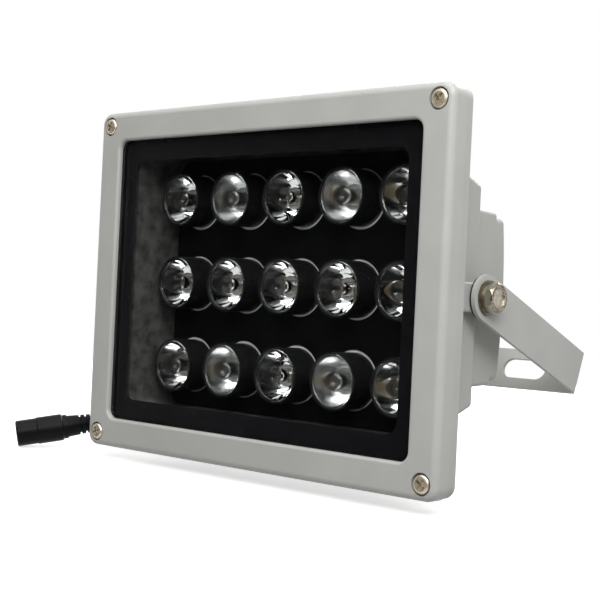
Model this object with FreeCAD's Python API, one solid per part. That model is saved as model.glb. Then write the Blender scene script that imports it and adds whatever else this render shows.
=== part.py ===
"""Infrared illuminator: a die-cast floodlight with fifteen lensed emitters on a tilting U bracket.

Millimetres, +Z up, the lamp faces -Y. The origin is the centre of the bracket's outer base face.
The lamp's own pieces are drawn in the lamp frame, whose origin is the middle of the glass front,
and are then moved to the row frame by LAMP_SHIFT.
"""
import FreeCAD, Part
import math
import os

# Front frame, a die-cast rim around the window; the lamp's other widths and heights follow from
# its opening
OPENING_W = 157.0
OPENING_H = 117.0
OPENING_R = 4.0
OPENING_EDGE_R = 1.2
RIM_SIDE = 12.5  # the rim's width at the left and right
RIM_TOP = 12.2  # the rim's width at the top and bottom
FRAME_CORNER_R = 5.0
FRAME_DEPTH = 8.0
FRAME_PROUD = 2.0  # how far its face stands in front of the glass
FRAME_EDGE_R = 2.6

# Window
GLASS_LAP = 4.0  # how far the glass reaches behind the frame on every side
GLASS_T = 3.0
GLASS_GAP = 0.3

# Frame screws, M4 cross-recessed pan heads
FRAME_SCREW_INSET_X = 6.2
FRAME_SCREW_INSET_Z = 5.9
FRAME_SCREW_R = 2.0
FRAME_SCREW_HEAD_R = 3.4
FRAME_SCREW_HEAD_H = 2.5
FRAME_SCREW_REACH = 8.2
FRAME_SCREW_POCKET_R = 4.0
FRAME_SCREW_POCKET_DEPTH = 2.2
FRAME_SCREW_TURNS = (24, 42, 66, 38)  # degrees that each cross stands turned by
PAN_HEAD_PROFILE = ((1.0, 0.5), (0.96, 0.75), (0.84, 0.94), (0.7, 1.0))  # of radius and height
CROSS_WIDTH = 0.27  # of the head's radius
CROSS_LENGTH = 1.2
CROSS_DEPTH = 0.6  # of the head's height
HOLE_CLEARANCE = 0.25
THREAD_CLEARANCE = 0.05

# Rear housing, one casting
FLANGE_DEPTH = 3.8
FLANGE_INSET = 0.3
CAVITY_INSET_X = 6.1  # how far the cavity's wall stands inside the opening's edge
CAVITY_INSET_Z = 5.5
CAVITY_R = 6.0
CAVITY_FLOOR_Y = 32.0
PAN_FRONT_WALL = 4.0
PAN_REAR_WALL = 2.1
PAN_CORNER_R = 8.0
PAN_FLOOR_T = 2.2
PAN_EDGE_R = 1.8
STEP_OVERLAP = 3.2  # how far the step starts ahead of the pan's rear face
STEP_PROUD_X = 4.1  # how far the step stands outside the cavity's sides
STEP_INSET_Z = 9.3  # how far its front edge lies inside the cavity's top and bottom
STEP_SLOPE_Z = 2.95  # how much lower its rear edge is
STEP_DEPTH = 7.0
STEP_DRAFT = 1.0
STEP_EDGE_R = 1.8
STEP_CORNER_R = 2.0
STEP_RISE = 0.65  # how far its middle lies above the driver bay's
BAY_INSET_X = 0.9  # how far the bay lies inside the cavity's sides
BAY_INSET_Z = 19.5
BAY_DRAFT = 0.7
BAY_DEPTH = 17.6
BAY_CORNER_R = 1.5
BAY_EDGE_R = 2.2  # on its top and bottom rear edges
BAY_WALL = 4.0
BAY_HOLLOW_R = 1.6
PARTITION_T = 4.3

# Cooling fins above and below the driver bay
FINS_PER_SIDE = 10
FIN_SIDE_MARGIN = 17.5  # from the bay's side to the middle of the first fin
FIN_T = 2.2
FIN_TIP_PROUD = 0.4  # how far the tips stand outside the cavity's top and bottom
FIN_HUMP_DROP = 5.9
FIN_HUMP_BEHIND_STEP = 4.8
FIN_ROOT_BEHIND_STEP = 11.8

# Pivot lugs and hardware
PIVOT_BEHIND_PAN = 3.0
REAR_DROP = 1.1  # how far the driver bay and the pivots lie below the window's middle
LUG_PROUD = 3.5  # how far a lug's face stands outside the step
LUG_AHEAD = 15.2  # how far a lug reaches in front of the pivot
LUG_BEHIND = 8.8
LUG_H = 10.6
LUG_EDGE_R = 0.8
PIVOT_BOLT_R = 3.0
PIVOT_THREAD_DEPTH = 11.0
PAD_T = 1.0
PAD_R = 8.0
FLAT_WASHER_R = 6.4
FLAT_WASHER_T = 1.0
SPRING_WASHER_R = 5.0
SPRING_WASHER_T = 1.1
SPRING_WASHER_SPLIT = 0.9
BOLT_HEAD_AF = 10.0
BOLT_HEAD_H = 2.9
BOLT_DISH_R = 3.9
BOLT_DISH_DEPTH = 0.7
BOLT_END_GAP = 1.0

# Bracket, one strip of steel sheet
BRACKET_T = 1.5
BRACKET_W = 17.0
BRACKET_BEND_R = 1.6
ARM_PAST_FRAME = 6.6  # how much longer an arm is than half the frame's height
ARM_DROP_DEG = 21.7
ARM_HOLE_R = 3.3
SLOT_W = 8.5
SLOT_LENGTH = 20.0
SLOT_MARGIN = 26.0  # from an arm's outer face to the middle of the slot
CENTRE_HOLE_R = 4.25

# Optics
LENS_COLUMNS = 5
LENS_ROWS = 3
LENS_SIDE_MARGIN = 13.9  # from the cavity's side to the middle of the first lens
LENS_TOP_MARGIN = 18.0
PANEL_T = 0.5
BOARD_T = 1.5
THERMAL_PAD_T = 0.3
PANEL_GAP = 0.5
PANEL_HOLE_R = 11.75
PANEL_HOLE_DRIFT = 0.25  # how far the outer rows of holes sit nearer the middle than the lenses do
HOLDER_R = 11.0
HOLDER_HEIGHT = 13.2
HOLDER_LIP = 0.75
HOLDER_WALL_AT_BOARD = 6.0
LENS_R = 10.1
LENS_RIM_T = 1.2
LENS_RIM_W = 0.75  # the raised edge round the face
LENS_FACE_DEPTH = 0.45  # how far the face lies behind that edge
LENS_BODY_POINTS = 5  # how many straight pieces draw the curved side
LENS_FOOT_R = 4.4
LENS_SIDE_GAP = 0.15
LENS_RECESS = 0.2  # how far the lens rim lies behind the holder's lip
LENS_BORE_R = 3.3
LENS_BORE_DEPTH = 4.0
FROSTED_CROWN = 1.4
DOMED_CROWN = 0.9
CROWN_STATIONS = (0.0, 0.3, 0.6, 0.85)  # shares of the face's radius that draw a crowned face
CLEAR_DIMPLE_R = 3.4
CLEAR_DIMPLE_DEPTH = 1.6
EMITTER_SIDE = 5.6
EMITTER_BASE_H = 1.2
EMITTER_DOME_R = 2.5
EMITTER_DOME_H = 1.8

# Driver bay contents and cover
COVER_INSET_X = 1.0  # how far the cover's edge lies inside the bay's
COVER_INSET_Z = 2.0
COVER_DEPTH = 8.9
COVER_CROWN = 2.2  # how much further back its middle stands than its top and bottom
COVER_CORNER_R = 3.0
COVER_EDGE_R = 2.6
COVER_WALL = 2.2
COVER_GASKET_T = 0.4
COVER_GASKET_INSET = 1.0
COVER_SCREW_INSET_X = 10.0
COVER_SCREW_INSET_Z = 8.5
COVER_SCREW_R = 1.5
COVER_SCREW_HEAD_R = 2.8
COVER_SCREW_HEAD_H = 2.0
COVER_SCREW_POCKET = 3.8
COVER_SCREW_REACH = 12.0
COVER_POST_R = 4.2
DRIVER_MARGIN_X = 19.5  # from the bay's outer side to the board's edge
DRIVER_MARGIN_Z = 11.5
DRIVER_T = 1.6
DRIVER_CORNER_R = 1.5
DRIVER_STANDOFF = 4.2
DRIVER_SCREW_INSET = 4.0
DRIVER_SCREW_GRIP = 4.0
DRIVER_POST_R = 3.4
WIRE_HOLE_R = 4.0

# Parts on the driver board, with their places from its middle
CHOKE_X = 4.0
CHOKE_R = 7.0
CHOKE_BORE_R = 2.6
CHOKE_H = 8.0
CAPACITOR_X = 24.0
CAPACITOR_Z = 8.0
CAPACITOR_R = 4.0
CAPACITOR_H = 11.0
CHIP_X = -14.0
CHIP_W = 8.0
CHIP_H = 10.0
CHIP_T = 2.4
TERMINAL_MARGIN = 8.0  # from the board's left edge
TERMINAL_W = 8.0
TERMINAL_H = 14.0
TERMINAL_T = 7.0

# Cable gland on the cover
GLAND_X = -36.0
GLAND_THREAD_R = 6.2
GLAND_HEX_AF = 15.0
GLAND_HEX_T = 4.0
GLAND_NECK_R = 5.6
GLAND_NECK_L = 7.4
GLAND_BORE_R = 3.6
GLAND_NUT_AF = 14.6
GLAND_NUT_HEX_L = 7.3
GLAND_NUT_L = 11.5
GLAND_NUT_TIP_R = 4.2
GLAND_LOCKNUT_AF = 17.0
GLAND_LOCKNUT_T = 3.0

# Lead with its in-line socket
CORD_R = 2.4
CORD_FIT = 0.1
CORD_START_GAP = 0.1
FRAME_ABOVE_TABLE = 5.2  # the gap under the frame, which the bracket holds up
COIL_BEHIND_ORIGIN = 15.0
COIL_INSIDE_FRAME = 25.0  # how far the coil's middle lies inside the frame's left side
COIL_R = 26.0
COIL_LAYERS = 3
TIE_W = 7.0
TIE_T = 0.8
NOSE_OUTSIDE_FRAME = 37.3
NOSE_AHEAD_OF_ORIGIN = 120.3
NOSE_ABOVE_TABLE = 5.7
CONNECTOR_WAY = (0.54, 0.825, 0.165)  # from the nose towards the cord
CONNECTOR_R = 5.65
CONNECTOR_NOSE_L = 8.8
CONNECTOR_GRIP_R = 5.9
CONNECTOR_GRIP_L = 11.1
CONNECTOR_COLLAR_R = 5.3
CONNECTOR_COLLAR_L = 2.4
CONNECTOR_EDGE = 0.5
RELIEF_R = 4.8
RELIEF_END_R = 3.6
RELIEF_L = 17.0
RELIEF_GROOVES = 4
RELIEF_GROOVE_START = 5.4
RELIEF_GROOVE_PITCH = 2.5
RELIEF_GROOVE_W = 1.0
RELIEF_GROOVE_DEPTH = 0.9
RELIEF_BORE_DEPTH = 1.0
SOCKET_R = 3.4
SOCKET_WALL = 0.45
SOCKET_DEPTH = 9.5
SOCKET_INSET = 0.6
SOCKET_PIN_R = 1.0
SOCKET_PIN_INSET = 2.0
SOCKET_BACK_T = 1.0

# The lead's route by hand: from the gland backwards and down, as offsets from the cord's start
DROP_ROUTE = (
    (0.0, 10.0, 0.0),
    (2.8, 24.5, -4.1),
    (11.4, 45.5, -17.0),
    (12.6, 60.6, -33.3),
    (8.3, 66.5, -45.5),
)
# then down to the coil's top turn, as offsets from the middle of that turn
COIL_APPROACH = (
    (29.1, 28.2, 6.6),
    (16.4, 26.7, 0.4),
    (3.4, 26.0, 0.0),
)
# from the coil's lowest turn forward along the table, beside the frame's left side and up to the
# socket: distances outside that side and behind the origin, and heights of the cord's middle
# above its height on the table
SIDE_ROUTE = (
    (0.9, 10.5, 0.0),
    (2.4, -7.0, 0.0),
    (3.2, -25.5, 0.3),
    (3.9, -43.0, 4.0),
    (4.9, -60.0, 9.6),
    (8.4, -76.1, 12.1),
)

# Places that follow from the sizes, in the lamp frame
FRAME_W = OPENING_W + 2 * RIM_SIDE
FRAME_H = OPENING_H + 2 * RIM_TOP
CAVITY_W = OPENING_W - 2 * CAVITY_INSET_X
CAVITY_H = OPENING_H - 2 * CAVITY_INSET_Z
STEP_W = CAVITY_W + 2 * STEP_PROUD_X
STEP_FRONT_H = CAVITY_H - 2 * STEP_INSET_Z
STEP_REAR_H = STEP_FRONT_H - 2 * STEP_SLOPE_Z
BAY_W = CAVITY_W - 2 * BAY_INSET_X
BAY_H = CAVITY_H - 2 * BAY_INSET_Z
FIN_PITCH = (BAY_W - 2 * FIN_SIDE_MARGIN) / (FINS_PER_SIDE - 1)
FIN_TIP_Z = CAVITY_H / 2 + FIN_TIP_PROUD
FIN_HUMP_Z = FIN_TIP_Z - FIN_HUMP_DROP
LENS_PITCH_X = (CAVITY_W - 2 * LENS_SIDE_MARGIN) / (LENS_COLUMNS - 1)
LENS_PITCH_Z = (CAVITY_H - 2 * LENS_TOP_MARGIN) / (LENS_ROWS - 1)
COVER_W = BAY_W - 2 * COVER_INSET_X
COVER_H = BAY_H - 2 * COVER_INSET_Z
COVER_SCREW_X = COVER_W / 2 - COVER_SCREW_INSET_X
COVER_SCREW_Z = COVER_H / 2 - COVER_SCREW_INSET_Z
DRIVER_W = BAY_W - 2 * DRIVER_MARGIN_X
DRIVER_H = BAY_H - 2 * DRIVER_MARGIN_Z
FRAME_FRONT_Y = -FRAME_PROUD
FRAME_REAR_Y = FRAME_FRONT_Y + FRAME_DEPTH
FLANGE_REAR_Y = FRAME_REAR_Y + FLANGE_DEPTH
PAN_REAR_Y = CAVITY_FLOOR_Y + PAN_FLOOR_T
PIVOT_Y = PAN_REAR_Y + PIVOT_BEHIND_PAN
STEP_REAR_Y = PAN_REAR_Y + STEP_DEPTH
FIN_HUMP_Y = STEP_REAR_Y + FIN_HUMP_BEHIND_STEP
FIN_ROOT_Y = STEP_REAR_Y + FIN_ROOT_BEHIND_STEP
BAY_REAR_Y = STEP_REAR_Y + BAY_DEPTH
BAY_FLOOR_Y = CAVITY_FLOOR_Y + PARTITION_T
COVER_FRONT_Y = BAY_REAR_Y + COVER_GASKET_T
COVER_REAR_Y = COVER_FRONT_Y + COVER_DEPTH
COVER_INNER_Y = COVER_REAR_Y - COVER_CROWN - COVER_WALL
BOARD_REAR_Y = CAVITY_FLOOR_Y - THERMAL_PAD_T
BOARD_FRONT_Y = BOARD_REAR_Y - BOARD_T
PANEL_FRONT_Y = BOARD_FRONT_Y - PANEL_T
HOLDER_FRONT_Y = BOARD_FRONT_Y - HOLDER_HEIGHT
LENS_FRONT_Y = HOLDER_FRONT_Y + LENS_RECESS
LENS_SEAT_Y = LENS_FRONT_Y + LENS_RIM_T
EMITTER_FRONT_Y = BOARD_FRONT_Y - EMITTER_BASE_H
LENS_FOOT_Y = EMITTER_FRONT_Y - 0.2
GLAND_NUT_Y = COVER_REAR_Y + GLAND_HEX_T
GLAND_TIP_Y = GLAND_NUT_Y + GLAND_NUT_L
CORD_TAIL_END_Y = GLAND_TIP_Y + 0.3
CORD_START_Y = CORD_TAIL_END_Y + CORD_START_GAP
LUG_FACE_X = STEP_W / 2 + LUG_PROUD
LUG_FRONT_Y = PIVOT_Y - LUG_AHEAD
LUG_REAR_Y = PIVOT_Y + LUG_BEHIND
ARM_INNER_X = LUG_FACE_X + PAD_T
ARM_OUTER_X = ARM_INNER_X + BRACKET_T
SLOT_X = ARM_OUTER_X - SLOT_MARGIN
WASHER_X = ARM_OUTER_X + FLAT_WASHER_T
BOLT_HEAD_X = WASHER_X + SPRING_WASHER_T
ARM_LENGTH = FRAME_H / 2 + ARM_PAST_FRAME  # from the pivot to the outer face of the base
ARM_WAY_Y = math.cos(math.radians(ARM_DROP_DEG))
ARM_WAY_Z = -math.sin(math.radians(ARM_DROP_DEG))
LAMP_SHIFT = FreeCAD.Vector(0, -PIVOT_Y - ARM_LENGTH * ARM_WAY_Y, REAR_DROP - ARM_LENGTH * ARM_WAY_Z)
TABLE_Z = LAMP_SHIFT.z - FRAME_H / 2 - FRAME_ABOVE_TABLE
COIL_X = COIL_INSIDE_FRAME - FRAME_W / 2
COIL_Y = COIL_BEHIND_ORIGIN
COIL_TOP_Z = TABLE_Z + 2 * CORD_R * COIL_LAYERS
CONNECTOR_L = CONNECTOR_NOSE_L + CONNECTOR_GRIP_L + CONNECTOR_COLLAR_L + RELIEF_L

V = FreeCAD.Vector
BACK = V(0, 1, 0)
RIGHT = V(1, 0, 0)
UP = V(0, 0, 1)
ORIGIN = V(0, 0, 0)
LOWERED = V(0, 0, -REAR_DROP)


def outline(width, height, radius, y):
    """A rounded rectangle in the plane at y, centred on the lamp's axis."""
    a = width / 2
    b = height / 2
    r = radius
    k = r * (1 - math.sqrt(0.5))
    edges = []
    corners = ((1, 1), (-1, 1), (-1, -1), (1, -1))
    for i, (sx, sz) in enumerate(corners):
        side = V(sx * a, y, sz * (b - r))
        top = V(sx * (a - r), y, sz * b)
        mid = V(sx * (a - k), y, sz * (b - k))
        first, last = (side, top) if i % 2 == 0 else (top, side)
        if edges:
            edges.append(Part.LineSegment(edges[-1].EndPoint, first))
        edges.append(Part.Arc(first, mid, last))
    edges.append(Part.LineSegment(edges[-1].EndPoint, edges[0].StartPoint))
    return Part.Wire([e.toShape() for e in edges])


def slab(width, height, radius, y0, y1):
    """A plate with rounded corners from y0 to y1."""
    return Part.Face(outline(width, height, radius, y0)).extrude(V(0, y1 - y0, 0))


def tapered(front, rear, radius, y0, y1):
    """A block whose rounded outline changes evenly from front = (width, height) to rear."""
    wires = [outline(front[0], front[1], radius, y0), outline(rear[0], rear[1], radius, y1)]
    return Part.makeLoft(wires, True, True)


def edges_at_y(shape, y):
    """The edges that lie in the plane at y."""
    found = []
    for edge in shape.Edges:
        box = edge.BoundBox
        if abs(box.YMin - y) < 1e-4 and abs(box.YMax - y) < 1e-4:
            found.append(edge)
    return found


def rounded_at_y(shape, y, radius):
    """The shape with the edges in the plane at y rounded."""
    return shape.makeFillet(radius, edges_at_y(shape, y))


def rod_y(radius, y0, y1, x=0.0, z=0.0):
    """A round rod along Y."""
    return Part.makeCylinder(radius, y1 - y0, V(x, y0, z), BACK)


def rod_x(radius, x0, x1, y=0.0, z=0.0):
    """A round rod along X, from x0 to the larger x1."""
    return Part.makeCylinder(radius, x1 - x0, V(x0, y, z), RIGHT)


def hexagon_y(across_flats, y0, y1, x=0.0, z=0.0):
    """A hexagonal prism along Y."""
    corner = across_flats / math.sqrt(3)
    points = []
    for i in range(7):
        turn = math.radians(60 * i)
        points.append(V(x + corner * math.cos(turn), y0, z + corner * math.sin(turn)))
    return Part.Face(Part.makePolygon(points)).extrude(V(0, y1 - y0, 0))


def turned_y(profile, x=0.0, z=0.0):
    """A solid of revolution about the Y line through x, z, from points of (radius, y)."""
    points = [V(x + r, y, z) for r, y in profile]
    points.append(points[0])
    return Part.Face(Part.makePolygon(points)).revolve(V(x, 0, z), BACK, 360)


def both_sides(make, *sizes):
    """The same shape made on the right (+1) and on the left (-1)."""
    return [make(side, *sizes) for side in (1, -1)]


def four_corners(x, z):
    """The four places at plus and minus x and z."""
    return [(sx * x, sz * z) for sz in (1, -1) for sx in (-1, 1)]


def frame_screw_places():
    return four_corners(FRAME_W / 2 - FRAME_SCREW_INSET_X, FRAME_H / 2 - FRAME_SCREW_INSET_Z)


def lens_places():
    """(row, column, x, z) for each lens, row 1 on top and column 1 on the left."""
    for row in range(1, LENS_ROWS + 1):
        for column in range(1, LENS_COLUMNS + 1):
            x = (column - (LENS_COLUMNS + 1) / 2) * LENS_PITCH_X
            z = ((LENS_ROWS + 1) / 2 - row) * LENS_PITCH_Z
            yield row, column, x, z


def front_frame():
    """The rim: rounded outer edges, an eased window edge, a glass pocket and four screw pockets."""
    rim = slab(FRAME_W, FRAME_H, FRAME_CORNER_R, FRAME_FRONT_Y, FRAME_REAR_Y)
    rim = rounded_at_y(rim, FRAME_FRONT_Y, FRAME_EDGE_R)
    window = slab(OPENING_W, OPENING_H, OPENING_R, FRAME_FRONT_Y - 1, FRAME_REAR_Y + 1)
    rim = rim.cut(window)
    window_edge = []
    for edge in edges_at_y(rim, FRAME_FRONT_Y):
        box = edge.BoundBox
        if max(abs(box.XMin), abs(box.XMax)) < OPENING_W / 2 + 0.01:
            if max(abs(box.ZMin), abs(box.ZMax)) < OPENING_H / 2 + 0.01:
                window_edge.append(edge)
    rim = rim.makeFillet(OPENING_EDGE_R, window_edge)
    lap = 2 * (GLASS_LAP + GLASS_GAP)
    pocket = slab(OPENING_W + lap, OPENING_H + lap, OPENING_R + 1, 0, FRAME_REAR_Y + 1)
    rim = rim.cut(pocket)
    floor = FRAME_FRONT_Y + FRAME_SCREW_POCKET_DEPTH
    for x, z in frame_screw_places():
        rim = rim.cut(rod_y(FRAME_SCREW_POCKET_R, FRAME_FRONT_Y - 1, floor, x, z))
        rim = rim.cut(rod_y(FRAME_SCREW_R + HOLE_CLEARANCE, floor - 1, FRAME_REAR_Y + 1, x, z))
    return rim


def pan_head_screw(x, z, seat_y, way, radius, head_r, head_h, reach, turn=0):
    """A cross-recessed pan head screw; way is +1 where its point is towards +Y."""
    profile = [(0, 0), (head_r, 0)]
    profile += [(head_r * wide, -head_h * tall) for wide, tall in PAN_HEAD_PROFILE]
    head = turned_y(profile + [(0, -head_h)])
    shank = Part.makeCylinder(radius, reach, ORIGIN, BACK)
    screw = head.fuse(shank)
    slot_w = head_r * CROSS_WIDTH
    slot_l = head_r * CROSS_LENGTH
    depth = head_h * CROSS_DEPTH
    for wide, tall in ((slot_l, slot_w), (slot_w, slot_l)):
        slot = Part.makeBox(wide, depth + 1, tall, V(-wide / 2, -head_h - 1, -tall / 2))
        screw = screw.cut(slot)
    screw.rotate(ORIGIN, BACK, turn)
    if way < 0:
        screw.rotate(ORIGIN, UP, 180)
    screw.translate(V(x, seat_y, z))
    return screw


def frame_screws():
    seat = FRAME_FRONT_Y + FRAME_SCREW_POCKET_DEPTH
    made = []
    for (x, z), turn in zip(frame_screw_places(), FRAME_SCREW_TURNS):
        made.append(pan_head_screw(x, z, seat, 1, FRAME_SCREW_R, FRAME_SCREW_HEAD_R,
                                   FRAME_SCREW_HEAD_H, FRAME_SCREW_REACH, turn))
    return Part.makeCompound(made)


def glass_window():
    return slab(OPENING_W + 2 * GLASS_LAP, OPENING_H + 2 * GLASS_LAP, OPENING_R + 1, 0, GLASS_T)


def glass_gasket():
    """A flat silicone ring between the glass and the housing's flange."""
    ring = slab(OPENING_W + 2 * GLASS_LAP, OPENING_H + 2 * GLASS_LAP, OPENING_R + 1,
                GLASS_T, FRAME_REAR_Y)
    return ring.cut(slab(CAVITY_W + 3, CAVITY_H + 3, CAVITY_R, GLASS_T - 1, FRAME_REAR_Y + 1))


def fin(x, side):
    """One curved cooling fin; side is +1 above the bay and -1 below it."""
    root_z = BAY_H / 2 - 3
    tip = V(x, PAN_REAR_Y - 1, side * FIN_TIP_Z)
    shoulder = V(x, PAN_REAR_Y + 2, side * FIN_TIP_Z)
    hump = V(x, FIN_HUMP_Y, side * FIN_HUMP_Z)
    end = V(x, FIN_ROOT_Y, side * root_z)
    inner = V(x, PAN_REAR_Y - 1, side * root_z)
    edges = [
        Part.LineSegment(tip, shoulder).toShape(),
        Part.Arc(shoulder, hump, end).toShape(),
        Part.LineSegment(end, inner).toShape(),
        Part.LineSegment(inner, tip).toShape(),
    ]
    blade = Part.Face(Part.Wire(edges)).extrude(V(FIN_T, 0, 0))
    blade.translate(V(-FIN_T / 2, 0, 0))
    return blade


def pivot_lug(side):
    """The block on each side that takes a pivot bolt."""
    inner = CAVITY_W / 2 + 0.5
    lug = Part.makeBox(LUG_FACE_X - inner, LUG_REAR_Y - LUG_FRONT_Y, LUG_H,
                       V(inner, LUG_FRONT_Y, -LUG_H / 2))
    outer = [e for e in lug.Edges if e.BoundBox.XMin > LUG_FACE_X - 1e-4]
    lug = lug.makeFillet(LUG_EDGE_R, outer)
    if side < 0:
        lug = lug.mirror(ORIGIN, RIGHT)
    return lug


def driver_screw_places():
    return four_corners(DRIVER_W / 2 - DRIVER_SCREW_INSET, DRIVER_H / 2 - DRIVER_SCREW_INSET)


def driver_bay():
    """The bay's outer form, with its top and bottom rear edges rounded.

    The rounded block that trims it flares twice as much as the bay, so it only meets the bay there."""
    bay = tapered((BAY_W, BAY_H), (BAY_W - 2 * BAY_DRAFT, BAY_H - 2 * BAY_DRAFT), BAY_CORNER_R,
                  STEP_REAR_Y - 1, BAY_REAR_Y + 1)
    rear = BAY_H / 2 - BAY_DRAFT
    front = rear + 2 * BAY_DRAFT
    y0 = STEP_REAR_Y - 2
    y1 = BAY_REAR_Y
    points = [V(-BAY_W, y0, -front), V(-BAY_W, y0, front), V(-BAY_W, y1, rear),
              V(-BAY_W, y1, -rear), V(-BAY_W, y0, -front)]
    block = Part.Face(Part.makePolygon(points)).extrude(V(2 * BAY_W, 0, 0))
    long_edges = [e for e in edges_at_y(block, y1) if e.Length > BAY_W]
    return bay.common(block.makeFillet(BAY_EDGE_R, long_edges))


def housing_back():
    """The stepped back, the driver bay, the lugs and the fins as one solid block, at z = 0."""
    step = tapered((STEP_W, STEP_FRONT_H), (STEP_W - 2 * STEP_DRAFT, STEP_REAR_H), STEP_CORNER_R,
                   PAN_REAR_Y - STEP_OVERLAP, STEP_REAR_Y)
    step = rounded_at_y(step, STEP_REAR_Y, STEP_EDGE_R)
    step.translate(V(0, 0, STEP_RISE))
    fins = []
    for i in range(FINS_PER_SIDE):
        x = (i - (FINS_PER_SIDE - 1) / 2) * FIN_PITCH
        fins += [fin(x, 1), fin(x, -1)]
    return step.fuse([driver_bay()] + both_sides(pivot_lug) + fins)


def bay_hollow():
    """The room inside the driver bay, with its screw posts left standing."""
    inner = 2 * BAY_WALL
    hollow = slab(BAY_W - inner, BAY_H - inner, BAY_HOLLOW_R, BAY_FLOOR_Y, BAY_REAR_Y + 1)
    posts = [rod_y(COVER_POST_R, BAY_FLOOR_Y - 1, BAY_REAR_Y + 2, x, z)
             for x, z in four_corners(COVER_SCREW_X, COVER_SCREW_Z)]
    posts += [rod_y(DRIVER_POST_R, BAY_FLOOR_Y - 1, BAY_FLOOR_Y + DRIVER_STANDOFF, x, z)
              for x, z in driver_screw_places()]
    return hollow.cut(posts)


def back_holes():
    """Tapped holes for the cover, the driver board and the pivot bolts."""
    seat = COVER_REAR_Y - COVER_SCREW_POCKET
    thread = COVER_SCREW_R + THREAD_CLEARANCE
    holes = [rod_y(thread, seat - COVER_SCREW_REACH - 1, BAY_REAR_Y + 1, x, z)
             for x, z in four_corners(COVER_SCREW_X, COVER_SCREW_Z)]
    top = BAY_FLOOR_Y + DRIVER_STANDOFF
    holes += [rod_y(thread, top - DRIVER_SCREW_GRIP - 1, top + 1, x, z)
              for x, z in driver_screw_places()]
    bore = PIVOT_BOLT_R + THREAD_CLEARANCE
    depth = PIVOT_THREAD_DEPTH
    holes.append(rod_x(bore, LUG_FACE_X - depth, LUG_FACE_X + 1, PIVOT_Y))
    holes.append(rod_x(bore, -LUG_FACE_X - 1, -LUG_FACE_X + depth, PIVOT_Y))
    return holes


def rear_housing():
    """The casting: flange, lamp pan and stepped back, hollowed from the front and from the rear."""
    flange = slab(FRAME_W - 2 * FLANGE_INSET, FRAME_H - 2 * FLANGE_INSET, FRAME_CORNER_R,
                  FRAME_REAR_Y, FLANGE_REAR_Y)
    pan = tapered(
        (CAVITY_W + 2 * PAN_FRONT_WALL, CAVITY_H + 2 * PAN_FRONT_WALL),
        (CAVITY_W + 2 * PAN_REAR_WALL, CAVITY_H + 2 * PAN_REAR_WALL),
        PAN_CORNER_R, FRAME_REAR_Y + 1, PAN_REAR_Y)
    pan = rounded_at_y(pan, PAN_REAR_Y, PAN_EDGE_R)
    body = flange.fuse([pan, housing_back().translated(LOWERED)])
    body = body.cut(slab(CAVITY_W, CAVITY_H, CAVITY_R, FRAME_REAR_Y - 1, CAVITY_FLOOR_Y))
    body = body.cut(bay_hollow().translated(LOWERED))
    holes = [hole.translated(LOWERED) for hole in back_holes()]
    holes += [rod_y(FRAME_SCREW_R + THREAD_CLEARANCE, FRAME_REAR_Y - 1, FLANGE_REAR_Y + 1, x, z)
              for x, z in frame_screw_places()]
    holes.append(rod_y(WIRE_HOLE_R, CAVITY_FLOOR_Y - 1, BAY_FLOOR_Y + 1, 0, LENS_PITCH_Z / 2))
    return body.cut(holes).removeSplitter()


def thermal_pad():
    pad = slab(CAVITY_W - 2 * PANEL_GAP, CAVITY_H - 2 * PANEL_GAP, CAVITY_R, BOARD_REAR_Y,
               CAVITY_FLOOR_Y)
    return pad.cut(rod_y(WIRE_HOLE_R, BOARD_REAR_Y - 1, CAVITY_FLOOR_Y + 1, 0, LENS_PITCH_Z / 2))


def led_board():
    board = slab(CAVITY_W - 2 * PANEL_GAP, CAVITY_H - 2 * PANEL_GAP, CAVITY_R, BOARD_FRONT_Y,
                 BOARD_REAR_Y)
    return board.cut(rod_y(WIRE_HOLE_R, BOARD_FRONT_Y - 1, BOARD_REAR_Y + 1, 0, LENS_PITCH_Z / 2))


def cover_panel():
    """The thin black sheet over the board, with a round hole for each lens holder."""
    sheet = slab(CAVITY_W - 2 * PANEL_GAP, CAVITY_H - 2 * PANEL_GAP, CAVITY_R, PANEL_FRONT_Y,
                 BOARD_FRONT_Y)
    closer = 1 - PANEL_HOLE_DRIFT / LENS_PITCH_Z
    holes = [rod_y(PANEL_HOLE_R, PANEL_FRONT_Y - 1, BOARD_FRONT_Y + 1, x, z * closer)
             for _, _, x, z in lens_places()]
    return sheet.cut(holes)


def led_emitters():
    """A square package with a low dome under each lens."""
    made = []
    half = EMITTER_SIDE / 2
    for _, _, x, z in lens_places():
        base = Part.makeBox(EMITTER_SIDE, EMITTER_BASE_H, EMITTER_SIDE,
                            V(x - half, EMITTER_FRONT_Y, z - half))
        dome = rod_y(EMITTER_DOME_R, EMITTER_FRONT_Y - EMITTER_DOME_H, EMITTER_FRONT_Y, x, z)
        made.append(base.fuse(dome))
    return Part.makeCompound(made)


def lens_side():
    """The points (radius, y) of the lens's curved side, a parabola, from the rim to the foot."""
    wide = LENS_R - HOLDER_LIP
    points = []
    for i in range(LENS_BODY_POINTS + 1):
        share = i / LENS_BODY_POINTS
        radius = math.sqrt(wide ** 2 + share * (LENS_FOOT_R ** 2 - wide ** 2))
        points.append((radius, LENS_SEAT_Y + share * (LENS_FOOT_Y - LENS_SEAT_Y)))
    return points


def lens_holder(x, z):
    """A black cup: an outer wall, a lip round the lens rim, and an inside that follows the lens."""
    lip_r = LENS_R + LENS_SIDE_GAP
    inside = [(r + LENS_SIDE_GAP, y) for r, y in reversed(lens_side())]
    return turned_y([
        (HOLDER_R, HOLDER_FRONT_Y), (HOLDER_R, BOARD_FRONT_Y), (HOLDER_WALL_AT_BOARD, BOARD_FRONT_Y),
        (HOLDER_WALL_AT_BOARD, LENS_FOOT_Y)] + inside + [
        (lip_r, LENS_SEAT_Y), (lip_r, HOLDER_FRONT_Y)], x, z)


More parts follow.
